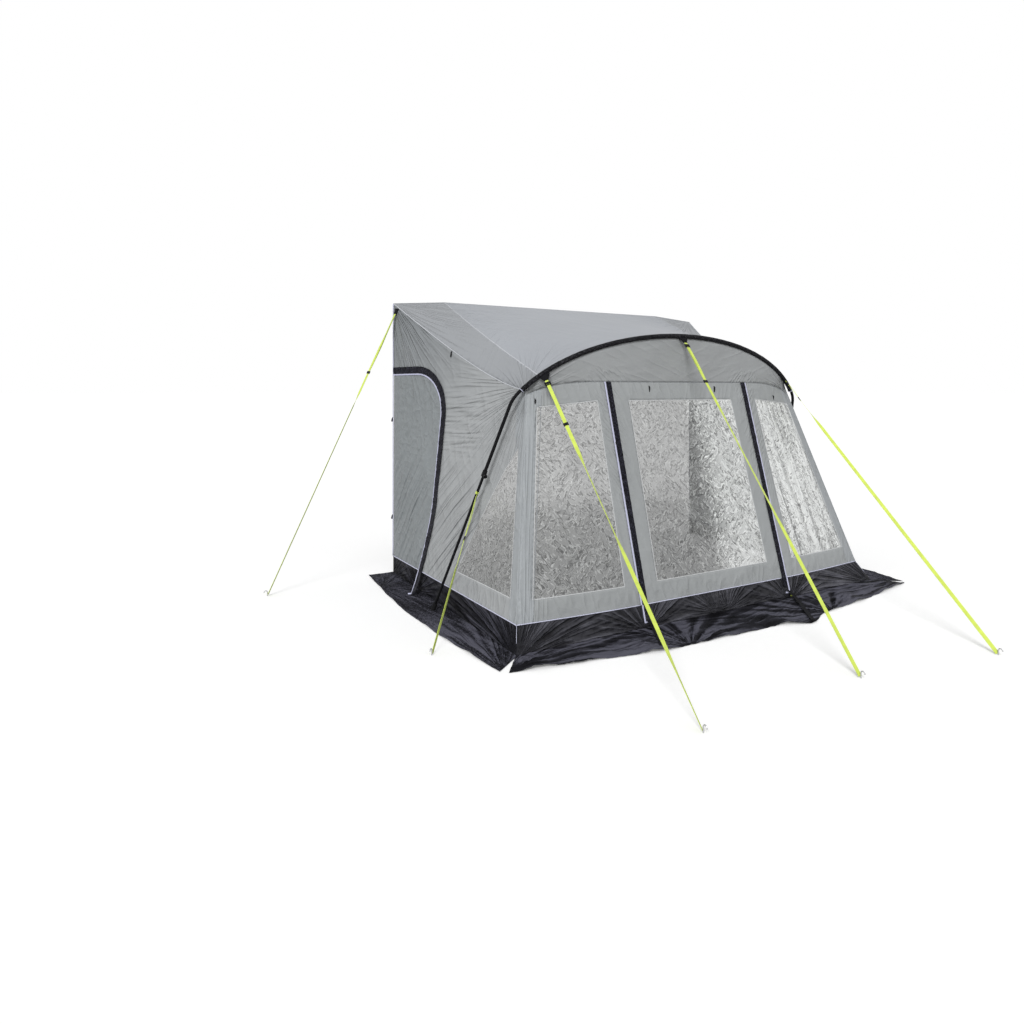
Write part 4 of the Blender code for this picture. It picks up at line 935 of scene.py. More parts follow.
class Cloth:
    """A panel laid on a face, with wrinkles that fade out towards its outline and its holes."""

    def __init__(self, face, out, outline, holes=(), wrinkle=None, lift=CLOTH / 2, fade=0.05,
                 step=PANEL_STEP):
        self.face, self.out, self.lift = face, Vector(out), lift
        self.wrinkle, self.fade, self.step = wrinkle, fade, step
        self.loops = [cut_up(loop, step) for loop in (outline, *holes)]

    def place(self, u, v, away, extra=0):
        spot, normal = off_face(self.face, self.out, u, v, self.lift)
        rise = self.wrinkle(u, v, spot) * smooth(away / self.fade) if self.wrinkle else 0
        return spot, spot + normal * (rise + extra), normal

    def path(self, places, extra):
        """Points on the wrinkled cloth, lifted by extra, each with the cloth's normal there."""
        away = edge_distance(np.array(places), self.loops)
        return [self.place(u, v, near, extra)[1:] for (u, v), near in zip(places, away)]

    def make(self, name, look, flat, held, rests_on, body=ROOT, replaces="", slot="wall_cloth",
             thick=SHEET, band=None):
        """The panel as a sheet; band is where it has a second look, and that look."""
        self.name = name
        spots, faces = flat_mesh(self.loops, self.step)
        away = edge_distance(spots, self.loops)
        build = bmesh.new()
        plain, verts = {}, {}
        for index in np.unique(faces):
            plain[index], raised, _ = self.place(*spots[index], away[index])
            verts[index] = build.verts.new(moved(raised))
        for corners in faces:
            made = build.faces.new([verts[index] for index in corners])
            if band and band[0](*spots[corners].mean(axis=0)):
                made.material_index = 1
        bmesh.ops.recalc_face_normals(build, faces=build.faces)
        total = sum((f.normal * f.calc_area() for f in build.faces), Vector())
        if total.dot(self.out) < 0:
            bmesh.ops.reverse_faces(build, faces=build.faces)
        piece = finish_piece(build, name, look, body, replaces, band and band[1],
                             recalc=False)
        if thick:
            thicken(piece, thick, 0)
        return piece


def strip_rows(build, layer, rows, lengths):
    """Join four-sided rings into a strip, with its length in ribs and its sides in a UV map."""
    for made, index, k in join_rings(build, rows):
        places = ((index, k), (index, k + 1), (index + 1, k + 1), (index + 1, k))
        for loop, (which, corner) in zip(made.loops, places):
            loop[layer].uv = (lengths[which] * WEB_RIBS, (corner % 4) * 0.5)
    close_ends(build, rows)


def beside(line, index):
    """Direction of a line at one of its points."""
    before, after = line[max(0, index - 1)], line[min(len(line) - 1, index + 1)]
    return (Vector(after) - Vector(before)).normalized()


def ribbons(name, strips, look, body=ROOT, smooth_shade=False, crinkle=0):
    """Flat strips in one piece; each is a path of points with normals, a width, a thickness."""
    build = bmesh.new()
    layer = build.loops.layers.uv.new("strip")
    for path, width, thick in strips:
        line = [Vector(spot) for spot, _ in path]
        lengths = [0]
        for a, b in zip(line, line[1:]):
            lengths.append(lengths[-1] + (b - a).length)
        rows = []
        for index, (spot, normal) in enumerate(path):
            along, normal = beside(line, index), Vector(normal)
            normal = (normal - along * normal.dot(along)).normalized()
            side = along.cross(normal)
            half = (width(index / (len(path) - 1)) if callable(width) else width) / 2
            row = []
            for a, b in ((-1, 0), (-1, 1), (1, 1), (1, 0)):
                place = line[index] + side * (half * a)
                rise = crinkle * (0.5 + noise.noise(place * 45)) if crinkle else 0
                row.append(place + normal * (thick * b + rise))
            rows.append(corners_at(build, row))
        strip_rows(build, layer, rows, lengths)
    return finish_piece(build, name, look, body, flat=not smooth_shade)


def ring_frames(points, closed=False):
    """Two directions across a line at each of its points, turning as little as they can."""
    frames, count, across = [], len(points), None
    for index in range(count):
        before = points[index - 1] if closed or index else points[0]
        after = points[(index + 1) % count] if closed or index < count - 1 else points[-1]
        along = (after - before).normalized()
        across = across or along.orthogonal().normalized()
        across = (across - along * across.dot(along)).normalized()
        frames.append((across, along.cross(across)))
    return frames


def rods(name, lines, look, body=ROOT, sides=10):
    """Round lines in one piece; each is a list of points and a radius, closed if its ends meet."""
    build = bmesh.new()
    for points, radius in lines:
        points = [Vector(point) for point in points]
        closed = (points[0] - points[-1]).length < FINE
        if closed:
            points = points[:-1]
        rings = [corners_at(build, around(point, one, two, radius, sides))
                 for point, (one, two) in zip(points, ring_frames(points, closed))]
        join_rings(build, rings + rings[:1] if closed else rings)
        if not closed:
            close_ends(build, rings)
    return finish_piece(build, name, look, body)


# Wrinkles

def folds(spot, scale, stretch, seed):
    """Smooth noise drawn out along one direction."""
    direction = Vector(stretch).normalized()
    along = spot.dot(direction)
    sample = spot - direction * along + direction * (along * 0.22)
    sample = sample * scale + Vector((seed, seed * 1.7, seed * 0.6))
    return noise.noise(sample, noise_basis="PERLIN_ORIGINAL")


def crest(a, b, seed, sharp=2.6):
    """Narrow raised lines where smooth noise passes through zero."""
    return (1 - min(1, abs(noise.noise(Vector((a, b, seed)))) * sharp)) ** 2


def fan(u, v, centre, count, reach, seed):
    """Tension folds that spread from a point and die away with distance."""
    du, dv = u - centre[0], v - centre[1]
    away = hypot(du, dv)
    if away > reach or away < FINE:
        return 0
    rise = smooth(away / (0.2 * reach)) * smooth((reach - away) / (0.75 * reach))
    return crest(atan2(dv, du) * count, away * 1.5, seed) * rise


def streaks(u, v, direction, spacing, length, seed):
    """Straight folds along one direction of a panel."""
    du, dv = (part / hypot(*direction) for part in direction)
    return crest((v * du - u * dv) / spacing, (u * du + v * dv) / length, seed)


def patch(u, v, centre, half_u, half_v):
    """One in the middle of an oval place and zero outside it."""
    return smooth(1.3 - hypot((u - centre[0]) / half_u, (v - centre[1]) / half_v))


def roof_wrinkle(x, y, spot):
    side = copysign(1, x)
    ends = (fan(abs(x), y, (RAIL_HALF, 0.03), 11, 1.35, 3 + side)
            + fan(abs(x), y, (TOP_CORNER_X, TOP_CORNER_Y - 0.03), 10, 0.95, 7 + 2 * side))
    along_arch = streaks(x, y, (0.15, 1), 0.11, 0.8, 4.4) * smooth((-y - 1.45) / 0.3)
    return folds(spot, 2.2, (0.3, 1, 0), 3.1) * 0.007 + ends * 0.006 + along_arch * 0.002


def wall_wrinkle(y, z, spot):
    tight = (fan(y, z, (0.03, RAIL_HEIGHT), 13, 1.15, 1.5)
             + fan(y, z, (TOP_CORNER_Y - 0.02, TOP_CORNER_Z + 0.03), 14, 1, 6.5)) * 0.0075
    level = streaks(y, z, (1, -0.05), 0.06, 0.55, 2.5) * patch(y, z, (-1.12, 1.48), 0.3, 0.3)
    rising = (streaks(y, z, (-0.75, 0.66), 0.075, 1.1, 8.5)
              * patch(y, z, (-0.85, 0.62), 0.75, 0.45))
    small = streaks(y, z, (-0.3, 1), 0.045, 0.18, 9.5) * smooth((0.36 - z) / 0.12) * 0.004
    broad = folds(spot, 4, (0, 0.8, 0.3), 7.7) * 0.008
    return tight + (level + rising) * 0.007 + small + broad + noise.noise(spot * 13) * 0.0022


def door_wrinkle(y, z, spot):
    boxes = (crest(y * 7, z * 5, 4.5, 3.4) * 0.0045 + crest(y * 5 + 9, z * 8, 1.2, 3.4) * 0.004)
    rising = (streaks(y, z, (-0.62, 0.78), 0.08, 1.3, 2.9)
              * patch(y, z, (-0.4, 0.7), 0.55, 0.62) * 0.008)
    top = fan(y, z, (0, RAIL_HEIGHT - 0.3), 15, 1.1, 0.7) * 0.005
    return boxes + rising + top + folds(spot, 4, (0, 0.5, 1), 3.7) * 0.006


def front_wrinkle(x, z, spot):
    beside_zip = (streaks(x, z, (0.55 * copysign(1, x), -1), 0.04, 0.35, 5.5)
                  * smooth(1 - abs(abs(x) - ZIP_X) / 0.14) * 0.0035)
    top = streaks(x, z, (0.45, -1), 0.05, 0.3, 3.3) * smooth((z - 1.52) / 0.12) * 0.004
    low = streaks(x, z, (0.35, 1), 0.045, 0.22, 9.1) * smooth((0.36 - z) / 0.14) * 0.0045
    corner = (streaks(x, z, (0.08, 1), 0.035, 0.9, 7.3)
              * smooth((abs(x) - corner_x(z) + 0.2) / 0.12) * 0.003)
    return beside_zip + top + low + corner + folds(spot, 5, (0.2, 0.1, 1), 5.3) * 0.004


def header_wrinkle(x, z, spot):
    seed = 5 + copysign(1, x)
    end = fan(abs(x), z, (TOP_CORNER_X + 0.02, TOP_CORNER_Z), 9, 0.7, seed) * 0.004
    loose = streaks(x, z, (0.5, -1), 0.1, 0.4, 6.1) * 0.0022
    return end + loose + folds(spot, 5, (0.5, 0, 1), 2.7) * 0.004


def film_wrinkle(u, v, spot):
    return (folds(spot, 14, (0.5, 0, 1), 6.6) * 0.004
            + streaks(u, v, (0.5, -1), 0.05, 0.22, 4) * 0.003)


def mud_wrinkle(u, z, fans, lying):
    """The tallest of some fans along the ground, with folds that lie along the wall."""
    tall = max(fan(u, z * 1.3, (place, -0.03), count, reach, seed)
               for place, count, reach, seed in fans)
    return (tall + lying) * 0.0085 - 0.003


def mud_front_wrinkle(x, z, spot):
    lying = (streaks(x, z, (1, 0.12), 0.03, 0.35, 4.5) * 0.6
             + streaks(x, z, (0.5, 1), 0.05, 0.1, 1.1) * 0.5)
    return mud_wrinkle(x, z, ((-GROUND_CORNER_X, 12, 0.75, 0.5), (-ZIP_X, 12, 0.45, 1.5),
                              (ZIP_X, 12, 0.45, 2.5), (GROUND_CORNER_X, 12, 0.75, 3.5)), lying)


def mud_side_wrinkle(y, z, spot):
    lying = streaks(y, z, (1, 0.1), 0.03, 0.35, 8.5) * 0.6
    return mud_wrinkle(y, z, ((GROUND_CORNER_Y, 13, 0.85, 2.5), (-0.6, 10, 0.45, 6.5),
                              (0, 10, 0.4, 9.5)), lying)


def skirt_point(x, y, along, length, run, shares, seed, tall, pulled):
    """A point of a skirt: big folds that rise to its hem, broad ones from its pegs, small ones."""
    big = max(height * SKIRT_FOLD * 0.8 * exp(-((along - place * length) / SKIRT_FOLD_WIDTH) ** 2)
              for place, height in shares)
    slanted = crest(along * 9 + run * 2.5, run * 0.8, seed) * 0.006
    small = crest(along * 30 - run * 3, run * 2, seed + 3) * 0.003
    side = copysign(2, x)
    pegged = (fan(abs(x), y, SKIRT_CORNER, 4.5, 1.2, 3.1 + side)
              + fan(abs(x), y, STRAP_END, 3.5, 0.7, 6.1 + side))
    height = tall * ((big + slanted) * clamp(run) + small)
    return Vector((x, y, height + pegged * SKIRT_FOLD * pulled * clamp(run * 3)))


# Camera

def make_camera():
    data = bpy.data.cameras.new("camera")
    data.lens = CAMERA_LENS
    data.shift_x, data.shift_y = CAMERA_SHIFT
    camera = into_scene("camera", data)
    camera.location = moved(CAMERA_PLACE)
    camera.rotation_euler = [radians(turn) for turn in (90 + CAMERA_PITCH_DEG, 0, -CAMERA_YAW_DEG)]
    bpy.context.scene.camera = camera


# Guy lines: taut flat webbing, doubled down to its runner

def leg_point(sign, distance):
    top = Vector((sign * BEND_END_X, hoop_y(BEND_END_Z), BEND_END_Z))
    foot = Vector((sign * LEG_FOOT_X, hoop_y(0), 0))
    return top + (foot - top).normalized() * distance


def leg_carrier():
    """The place and direction of the left leg where its guy line is looped round it."""
    along = (leg_point(-1, 1) - leg_point(-1, 0)).normalized()
    return leg_point(-1, GUY_LEG_DISTANCE), along


def guy_line(word):
    """Start of a guy line, and its directions down and across its webbing, and its length."""
    end, top_x = Vector(GUYS[word][0]), GUYS[word][1]
    if word == "rear_left":
        y, z = GUY_REAR
        start = Vector((-wall_x(y, z) - CLOTH - GUY_REAR_CLEAR, y, z))
        outward = Vector((-WEB_WIDTH, wall_x(y - WEB_WIDTH, z) - wall_x(y, z), 0)).normalized()
        wide = (end - start).cross(outward).normalized()
    else:
        if word == "leg_left":
            (centre, carrier), radius = leg_carrier(), SPIGOT_RADIUS
        else:
            centre, carrier, radius = sleeve_point(top_x), sleeve_along(top_x, 0.03), SLEEVE_RADIUS
        down = (end - centre).normalized()
        lean = abs(down.dot(carrier))
        away = (radius + GUY_TOP_CLEAR + WEB_WIDTH / 2 * lean) / sqrt(1 - lean * lean)
        start = centre + down * away
        wide = (carrier - down * carrier.dot(down)).normalized()
    return start, (end - start).normalized(), wide, (end - start).length


def guy_twist(word, at):
    """How far the webbing has turned about its line: flat wherever its runner can slide."""
    places = GUYS[word][3]
    turn = places[0][1]
    for (low, before), (high, after) in zip(places, places[1:]):
        turn += (after - before) * smooth((at - low) / (high - low))
    return radians(turn)


def make_guy(word):
    """One guy line: webbing that twists below its runner, and a second layer above it."""
    start, down, wide, full = guy_line(word)
    thin = down.cross(wide)
    length = full - WEB_END_CLEAR
    build = bmesh.new()
    layer = build.loops.layers.uv.new("strip")
    for low, high, steps, lift in ((0, length, 200, 0),
                                   (0.02, GUYS[word][2] * full - 0.008, 60, 0.007)):
        rows, places = [], span(low, high, steps)
        for at in places:
            turn = guy_twist(word, at)
            side = wide * cos(turn) + thin * sin(turn)
            face = thin * cos(turn) - wide * sin(turn)
            gap = lift * sin(pi * clamp((at - low) / (high - low)))
            middle = start + down * at + face * gap
            rows.append(corners_at(build, [
                middle + side * (WEB_WIDTH / 2 * a) + face * (WEB_THICK / 2 * b)
                for a, b in ((-1, -1), (-1, 1), (1, 1), (1, -1))]))
        strip_rows(build, layer, rows, places)
    piece = finish_piece(build, "webbing_" + word, "web", ROOT, "guy_" + word,
                         flat=True)


# Roof, walls and windows

def bridge(name, high, low, look):
    """A small sheet between two edges."""
    build = bmesh.new()
    join_rings(build, [corners_at(build, [a.lerp(b, share) for share in span(0, 1, 4)])
                       for a, b in zip(high, low)], closed=False)
    bmesh.ops.remove_doubles(build, verts=build.verts, dist=FINE * 10)
    size = sqrt(sum(face.calc_area() for face in build.faces))
    piece = finish_piece(build, name, look, recalc=False)


def make_roof():
    side_rows = span(TOP_CORNER_Y, REAR_Y, 60)
    arch = span(-SHOULDER_X, SHOULDER_X, 40)
    outline = [(x, roof_front_y(x)) for x in arch] + [(side_seam_x(y), y) for y in side_rows]
    outline += [(x, REAR_Y) for x in arch[::-1]] + [(-side_seam_x(y), y) for y in side_rows[::-1]]
    roof = Cloth(roof_face, UP, outline, wrinkle=roof_wrinkle, fade=0.04, step=ROOF_STEP)
    roof.make("roof_sheet", "roof", (3.7, 1.98), "stretched", ["rail_bead", "arch_sleeve"],
              replaces="roof_panel roof_shoulder_left roof_shoulder_right",
              slot="roof_cloth", band=(lambda x, y: abs(x) > SHOULDER_X, "shoulder"))
    seam_rows = span(roof_front_y(SHOULDER_X), REAR_Y, 60)
    seams = [(roof.path([(sign * SHOULDER_X, y) for y in seam_rows], SHEET / 2), *ROOF_SEAM)
             for sign in SIDES.values()]
    ribbons("roof_seams", seams, "pale_seam", smooth_shade=True)
    for word, sign in SIDES.items():
        edge = [Vector((sign * side_seam_x(y), y, side_seam_z(y))) for y in side_rows]
        rods("roof_edge_" + word, [(edge, ROOF_EDGE_RADIUS)], "pale_seam")
    for word, sign in SIDES.items():
        end = span(CROWN_END_X, SHOULDER_X, 6)
        high = [roof_face(sign * x, roof_front_y(x)) for x in end]
        low = [header_face(sign * x, header_top_z(x)) for x in end]
        corner = Vector((sign * TOP_CORNER_X, TOP_CORNER_Y, TOP_CORNER_Z))
        for edge in (high, low):
            edge += [edge[-1].lerp(corner, share) for share in span(0, 1, 6)[1:]]
        bridge("hoop_gusset_" + word, high, low, "header")


def make_header():
    right = [(x, header_z(x)) for x in span(ZIP_X, corner_x(HEADER_CORNER_Z), 12)]
    line = [(-x, z) for x, z in right[::-1]]
    line += [(x, HEADER_Z) for x in span(-ZIP_X, ZIP_X, 20)[1:-1]] + right
    top = [(x, header_top_z(x)) for x in span(SHOULDER_X, -SHOULDER_X, 40)]
    outline = line + [(TOP_CORNER_X, TOP_CORNER_Z), *top, (-TOP_CORNER_X, TOP_CORNER_Z)]
    Cloth(header_face, FRONT, outline, wrinkle=header_wrinkle, fade=0.04,
          step=ROOF_STEP).make(
        "header_sheet", "header", (2.85, 0.47), "stretched", ["arch_sleeve"],
        replaces="header_panel")
    rods("header_seam", [(lifted(header_face, FRONT, line, CLOTH), HEADER_SEAM_RADIUS)], "seam")


def mirrored(places, sign):
    return [(sign * u, v) for u, v in places]


def glaze(panel, window, inward, name, look, flat, node, body=ROOT):
    """The film of one window; gives the strip of its welded rim."""
    Cloth(panel.face, panel.out, window, wrinkle=film_wrinkle).make(
        name, look, flat, "stretched", [panel.name], body, node, "window_film", thick=0)
    dense = cut_up(window, 0.03)
    middle = np.mean(window, axis=0)
    places = [(lerp(u, middle[0], inward), lerp(v, middle[1], inward))
              for u, v in dense + dense[:1]]
    return panel.path(places, SHEET), WELD_WIDTH, THIN_TAPE


def make_front():
    centre = [(-ZIP_X, PIPING_Z), (ZIP_X, PIPING_Z), (ZIP_X, HEADER_Z), (-ZIP_X, HEADER_Z)]
    panel = Cloth(front_face, FRONT, centre, [CENTRE_WINDOW], front_wrinkle)
    panel.make("centre_sheet", "wall", (1.48, 1.64), "hung", ["header_panel"], "roll_up_front",
               "centre_panel")
    rim = glaze(panel, CENTRE_WINDOW, -0.004, "centre_film", "film_centre", (1.13, 1.35),
                "centre_window", "roll_up_front")
    ribbons("centre_weld", [rim], "weld", "roll_up_front")
    welds = []
    for word, sign in SIDES.items():
        outline = [(x, PIPING_Z) for x in span(ZIP_X, PIPING_CORNER_X, 16)]
        outline += [(corner_x(z), z) for z in span(PIPING_Z, HEADER_CORNER_Z, 20)[1:]]
        outline += [(x, header_z(x)) for x in span(corner_x(HEADER_CORNER_Z), ZIP_X, 12)[1:]]
        outline += [(ZIP_X, z) for z in span(PIPING_Z, HEADER_Z, 20)[-2:0:-1]]
        outline, window = mirrored(outline, sign), mirrored(SIDE_WINDOW, sign)
        panel = Cloth(front_face, FRONT, outline, [window], front_wrinkle)
        panel.make("front_sheet_" + word, "wall", (1.0, 1.64), "stretched", ["header_panel"],
                   replaces="front_panel_" + word,
                   band=(lambda x, z: abs(x) > corner_x(z) - CORNER_BAND, "band"))
        welds.append(glaze(panel, window, -0.006, "front_film_" + word, "film_" + word,
                           (0.74, 1.35), "front_window_" + word))
        line = [(sign * (corner_x(z) - CORNER_BAND), z)
                for z in span(PIPING_Z, HEADER_CORNER_Z, 50)]
        seam = panel.path(line, SHEET / 2), BAND_SEAM_WIDTH, THIN_TAPE
        ribbons("corner_band_seam_" + word, [seam], "seam", smooth_shade=True)
        corner = corner_line(sign, PIPING_Z, TOP_CORNER_Z, 30)
        rods("corner_seam_" + word, [(corner, CORNER_SEAM_RADIUS)], "band")
    ribbons("front_welds", welds, "weld")


def door_edge():
    """The door's zip, from the piping up and back to its hinge."""
    line = [(-lerp(DOOR_BOTTOM_DEPTH, DOOR_DEPTH, sin(share * pi / 2)), z)
            for share, z in zip(span(0, 1, 14), span(PIPING_Z, DOOR_STRAIGHT_LOW_Z, 14))]
    middle_z = DOOR_TOP_Z - DOOR_ROUND
    line += [(-DOOR_DEPTH, z) for z in span(DOOR_STRAIGHT_LOW_Z, middle_z, 10)[1:]]
    line += [(-DOOR_DEPTH + DOOR_ROUND * (1 - a), middle_z + DOOR_ROUND * b)
             for a, b in turns(0, pi / 2, 12)[1:]]
    return line + [(y, DOOR_TOP_Z) for y in span(DOOR_ROUND - DOOR_DEPTH, DOOR_HINGE_Y, 10)[1:]]


def shifted(line, distance):
    """A flat line moved sideways, to its left as it runs."""
    along = [beside(line, index) for index in range(len(line))]
    return [(u - step.y * distance, v + step.x * distance) for (u, v), step in zip(line, along)]


def make_sides():
    edge = door_edge()
    for word, sign in SIDES.items():
        out, face = (sign, 0, 0), side_face(sign, wall_x)
        outline = [(y, side_seam_z(y)) for y in span(REAR_Y, TOP_CORNER_Y, 60)]
        outline += [(corner_y(z), z) for z in span(HEADER_CORNER_Z, PIPING_Z, 20)]
        outline += edge[:-1] + [(REAR_Y, DOOR_TOP_Z)]
        wall = Cloth(face, out, outline, [WALL_WINDOW], wall_wrinkle, fade=0.085)
        wall.make("side_sheet_" + word, "side", (2.32, 2.32), "stretched",
                  ["rail_bead", "arch_sleeve"], replaces="side_wall_" + word,
                  band=(lambda y, z: y < corner_y(max(z, PIPING_Z)) + SIDE_BAND
                        and z < TOP_CORNER_Z, "side_band"))
        rim = glaze(wall, WALL_WINDOW, -0.008, "side_film_" + word, "film_side", (0.8, 1.02),
                    "side_window_" + word)
        ribbons("side_weld_" + word, [rim], "weld")
        door = edge + [(DOOR_HINGE_Y, z) for z in span(DOOR_TOP_Z, PIPING_Z, 12)[1:]]
        Cloth(face, out, door, wrinkle=door_wrinkle).make(
            "door_sheet_" + word, "door", (0.76, 1.67), "hung", ["side_sheet_" + word],
            "side_door_" + word, "door_" + word)
        make_door_trims(word, sign, edge, face, out)


def storm_flap(name, path, width, body=ROOT, crinkle=0):
    piece = ribbons(name, [(path, width, FLAP_THICK)], "flap", body, crinkle=crinkle)


def make_door_trims(word, sign, edge, face, out):
    """The storm flaps of a door, its zip tape, and their ends that hang over the skirt."""
    fine = [tuple(lerp(a, b, share) for a, b in zip(start, end))
            for start, end in zip(edge, edge[1:]) for share in (0, 1 / 3, 2 / 3)]
    fine.append(edge[-1])
    normal = Vector((sign, -0.25, 0.25)).normalized()

    def hanging(first, places):
        """A line down over the skirt: how far it stands out, how far it runs forward, its z."""
        return [(Vector((sign * (RAIL_HALF + stand), first[0] - run, z)), normal)
                for stand, run, z in places]

    flap = shifted(fine, FLAP_WIDTH / 2 + 0.001)
    tail = hanging(flap[0], ((0.105, 0.165, 0.026), (0.072, 0.12, 0.05), (0.034, 0.07, 0.085),
                             (0.003, 0.028, 0.12)))
    storm_flap("door_flap_" + word, tail + hung(face, out, flap, FLAP_LIFT), FLAP_WIDTH,
               crinkle=0.005)
    storm_flap("door_inner_flap_" + word, hung(face, out, shifted(fine, 0.022), INNER_FLAP_LIFT),
               INNER_FLAP_WIDTH)
    tape = shifted(fine, DOOR_TAPE_IN)
    ribbons("door_tape_" + word, [(hung(face, out, tape, TAPE_LIFT), TAPE_WIDTH, TAPE_THICK)],
            "tape", "side_door_" + word)
    drop = hanging(tape[0], ((0.125, 0.2, 0.024), (0.086, 0.14, 0.05), (0.042, 0.08, 0.088),
                             (0.006, 0.026, 0.125), (-0.016, 0, PIPING_Z)))
    foot = [(drop[0][0] + Vector((sign * 0.024 * share, 0.008 * share, 0.004)), normal)
            for share in span(0, 1, 3)]
    ribbons("door_tape_end_" + word, [(drop, TAPE_WIDTH, TAPE_END_THICK),
                                      (foot, TAPE_WIDTH * 0.8, TAPE_END_THICK)], "tape")


def make_front_trims():
    """Zip tapes and storm flaps of the front, and the ends and straps over the mud wall."""
    tapes, ends, flaps, straps = [], [], [], []
    for sign in SIDES.values():
        def strip(places, lift, width, thick):
            return hung(front_face, FRONT, mirrored(places, sign), lift), width, thick

        tapes.append(strip([(ZIP_X + 0.007, z) for z in span(PIPING_Z, HEADER_Z, 80)],
                           TAPE_LIFT, TAPE_WIDTH, TAPE_THICK))
        ends.append(strip([(ZIP_X + 0.004, z) for z in span(0.04, PIPING_Z, 6)],
                          TAPE_END_LIFT, TAPE_WIDTH, TAPE_END_THICK))
        ends.append(strip([(ZIP_X + 0.01 - 0.055 * share, 0.036 + 0.004 * share)
                           for share in span(0, 1, 4)],
                          TAPE_END_LIFT + 0.0015, TAPE_WIDTH * 0.8, TAPE_END_THICK))
        flaps.append(hung(front_face, FRONT, mirrored(
            [(ZIP_X - 0.024, z) for z in span(0.085, HEADER_Z, 80)], sign), FRONT_FLAP_LIFT))
        x = sign * (ZIP_X - 0.015)
        hem_x, hem_y = STRAP_ENDS[sign]
        lying = [(Vector((x, GROUND_FRONT_Y - 0.014, 0.06)), Vector((0, -1, 0.3))),
                 (Vector((x, GROUND_FRONT_Y - 0.024, 0.04)), Vector((0, -0.8, 0.6)))]
        lying += [(Vector((lerp(x, hem_x, share), lerp(GROUND_FRONT_Y - 0.045, hem_y, share),
                           0.034 - 0.006 * share + 0.005 * sin(share * 5))),
                   Vector((0, -0.1, 1))) for share in span(0, 1, 10)]
        straps.append((lying, *STRAP_SIZE))
    ribbons("front_tapes", tapes, "tape")
    ribbons("front_tape_ends", ends, "tape")
    for word, flap in zip(SIDES, flaps):
        storm_flap("front_flap_" + word, flap, FRONT_FLAP_WIDTH,
                   "roll_up_front", 0.003)
    ribbons("ground_straps", straps, "black_web")
    tag = [(Vector((ZIP_X + 0.012, front_y(ZIP_X, z) - 0.015, z)), FRONT)
           for z in (0.01, 0.024, 0.034)]
    ribbons("strap_tag", [(tag, 0.018, 0.0015)], "web")


def make_piping():
    """The raised cord between walls and mud walls; it stops at the zips."""
    runs = ((-PIPING_CORNER_X, -ZIP_X - 0.016), (-ZIP_X + 0.05, ZIP_X - 0.05),
            (ZIP_X + 0.016, PIPING_CORNER_X))
    rods("front_piping", [(lifted(front_face, FRONT, [(x, PIPING_Z) for x in span(*run, 40)],
                                  PIPING_LIFT), PIPING_RADIUS) for run in runs], "piping")
    for word, sign in SIDES.items():
        line = lifted(side_face(sign, wall_x), (sign, 0, 0),
                      [(y, PIPING_Z) for y in span(0, PIPING_CORNER_Y, 60)], PIPING_LIFT)
        seam = [spot + Vector((sign, -1, 0)) * 0.002
                for spot in corner_line(sign, 0.06, PIPING_Z, 8)]
        rods("side_piping_" + word, [(line, PIPING_RADIUS), (seam, 0.0013)], "piping")
        rear = [Vector((sign * (RAIL_HALF + 0.003), 0.0012, z))
                for z in span(PIPING_Z, side_seam_z(0), 30)]
        rods("rear_piping_" + word, [(rear, REAR_PIPING_RADIUS)], "piping")


def make_mud_walls():
    outline = [(x, PIPING_Z) for x in span(-PIPING_CORNER_X, PIPING_CORNER_X, 40)]
    outline += [(x, MUD_LOW_Z) for x in span(GROUND_CORNER_X, -GROUND_CORNER_X, 40)]
    Cloth(front_face, FRONT, outline, wrinkle=mud_front_wrinkle, fade=0.02, step=MUD_STEP).make(
        "mud_front_sheet", "dark_front", (3.6, 0.156), "stretched", ["skirt_front"],
        replaces="mud_wall_front", slot="dark_cloth")
    outline = [(0, PIPING_Z), (PIPING_CORNER_Y, PIPING_Z), (GROUND_CORNER_Y, MUD_LOW_Z),
               (0, MUD_LOW_Z)]
    for word, sign in SIDES.items():
        Cloth(side_face(sign, mud_x), (sign, 0, 0), outline, wrinkle=mud_side_wrinkle,
              fade=0.02, step=MUD_STEP).make(
            "mud_sheet_" + word, "dark_side", (2.3, 0.156), "stretched", ["skirt_" + word],
            replaces="mud_wall_" + word, slot="dark_cloth")


def make_skirt(face, outline, end, look, flat, rests_on):
    Cloth(face, UP, outline, lift=CLOTH, step=SKIRT_STEP).make(
        "skirt_sheet_" + end, look, flat, "laid", [rests_on], replaces="skirt_" + end,
        slot="dark_cloth")


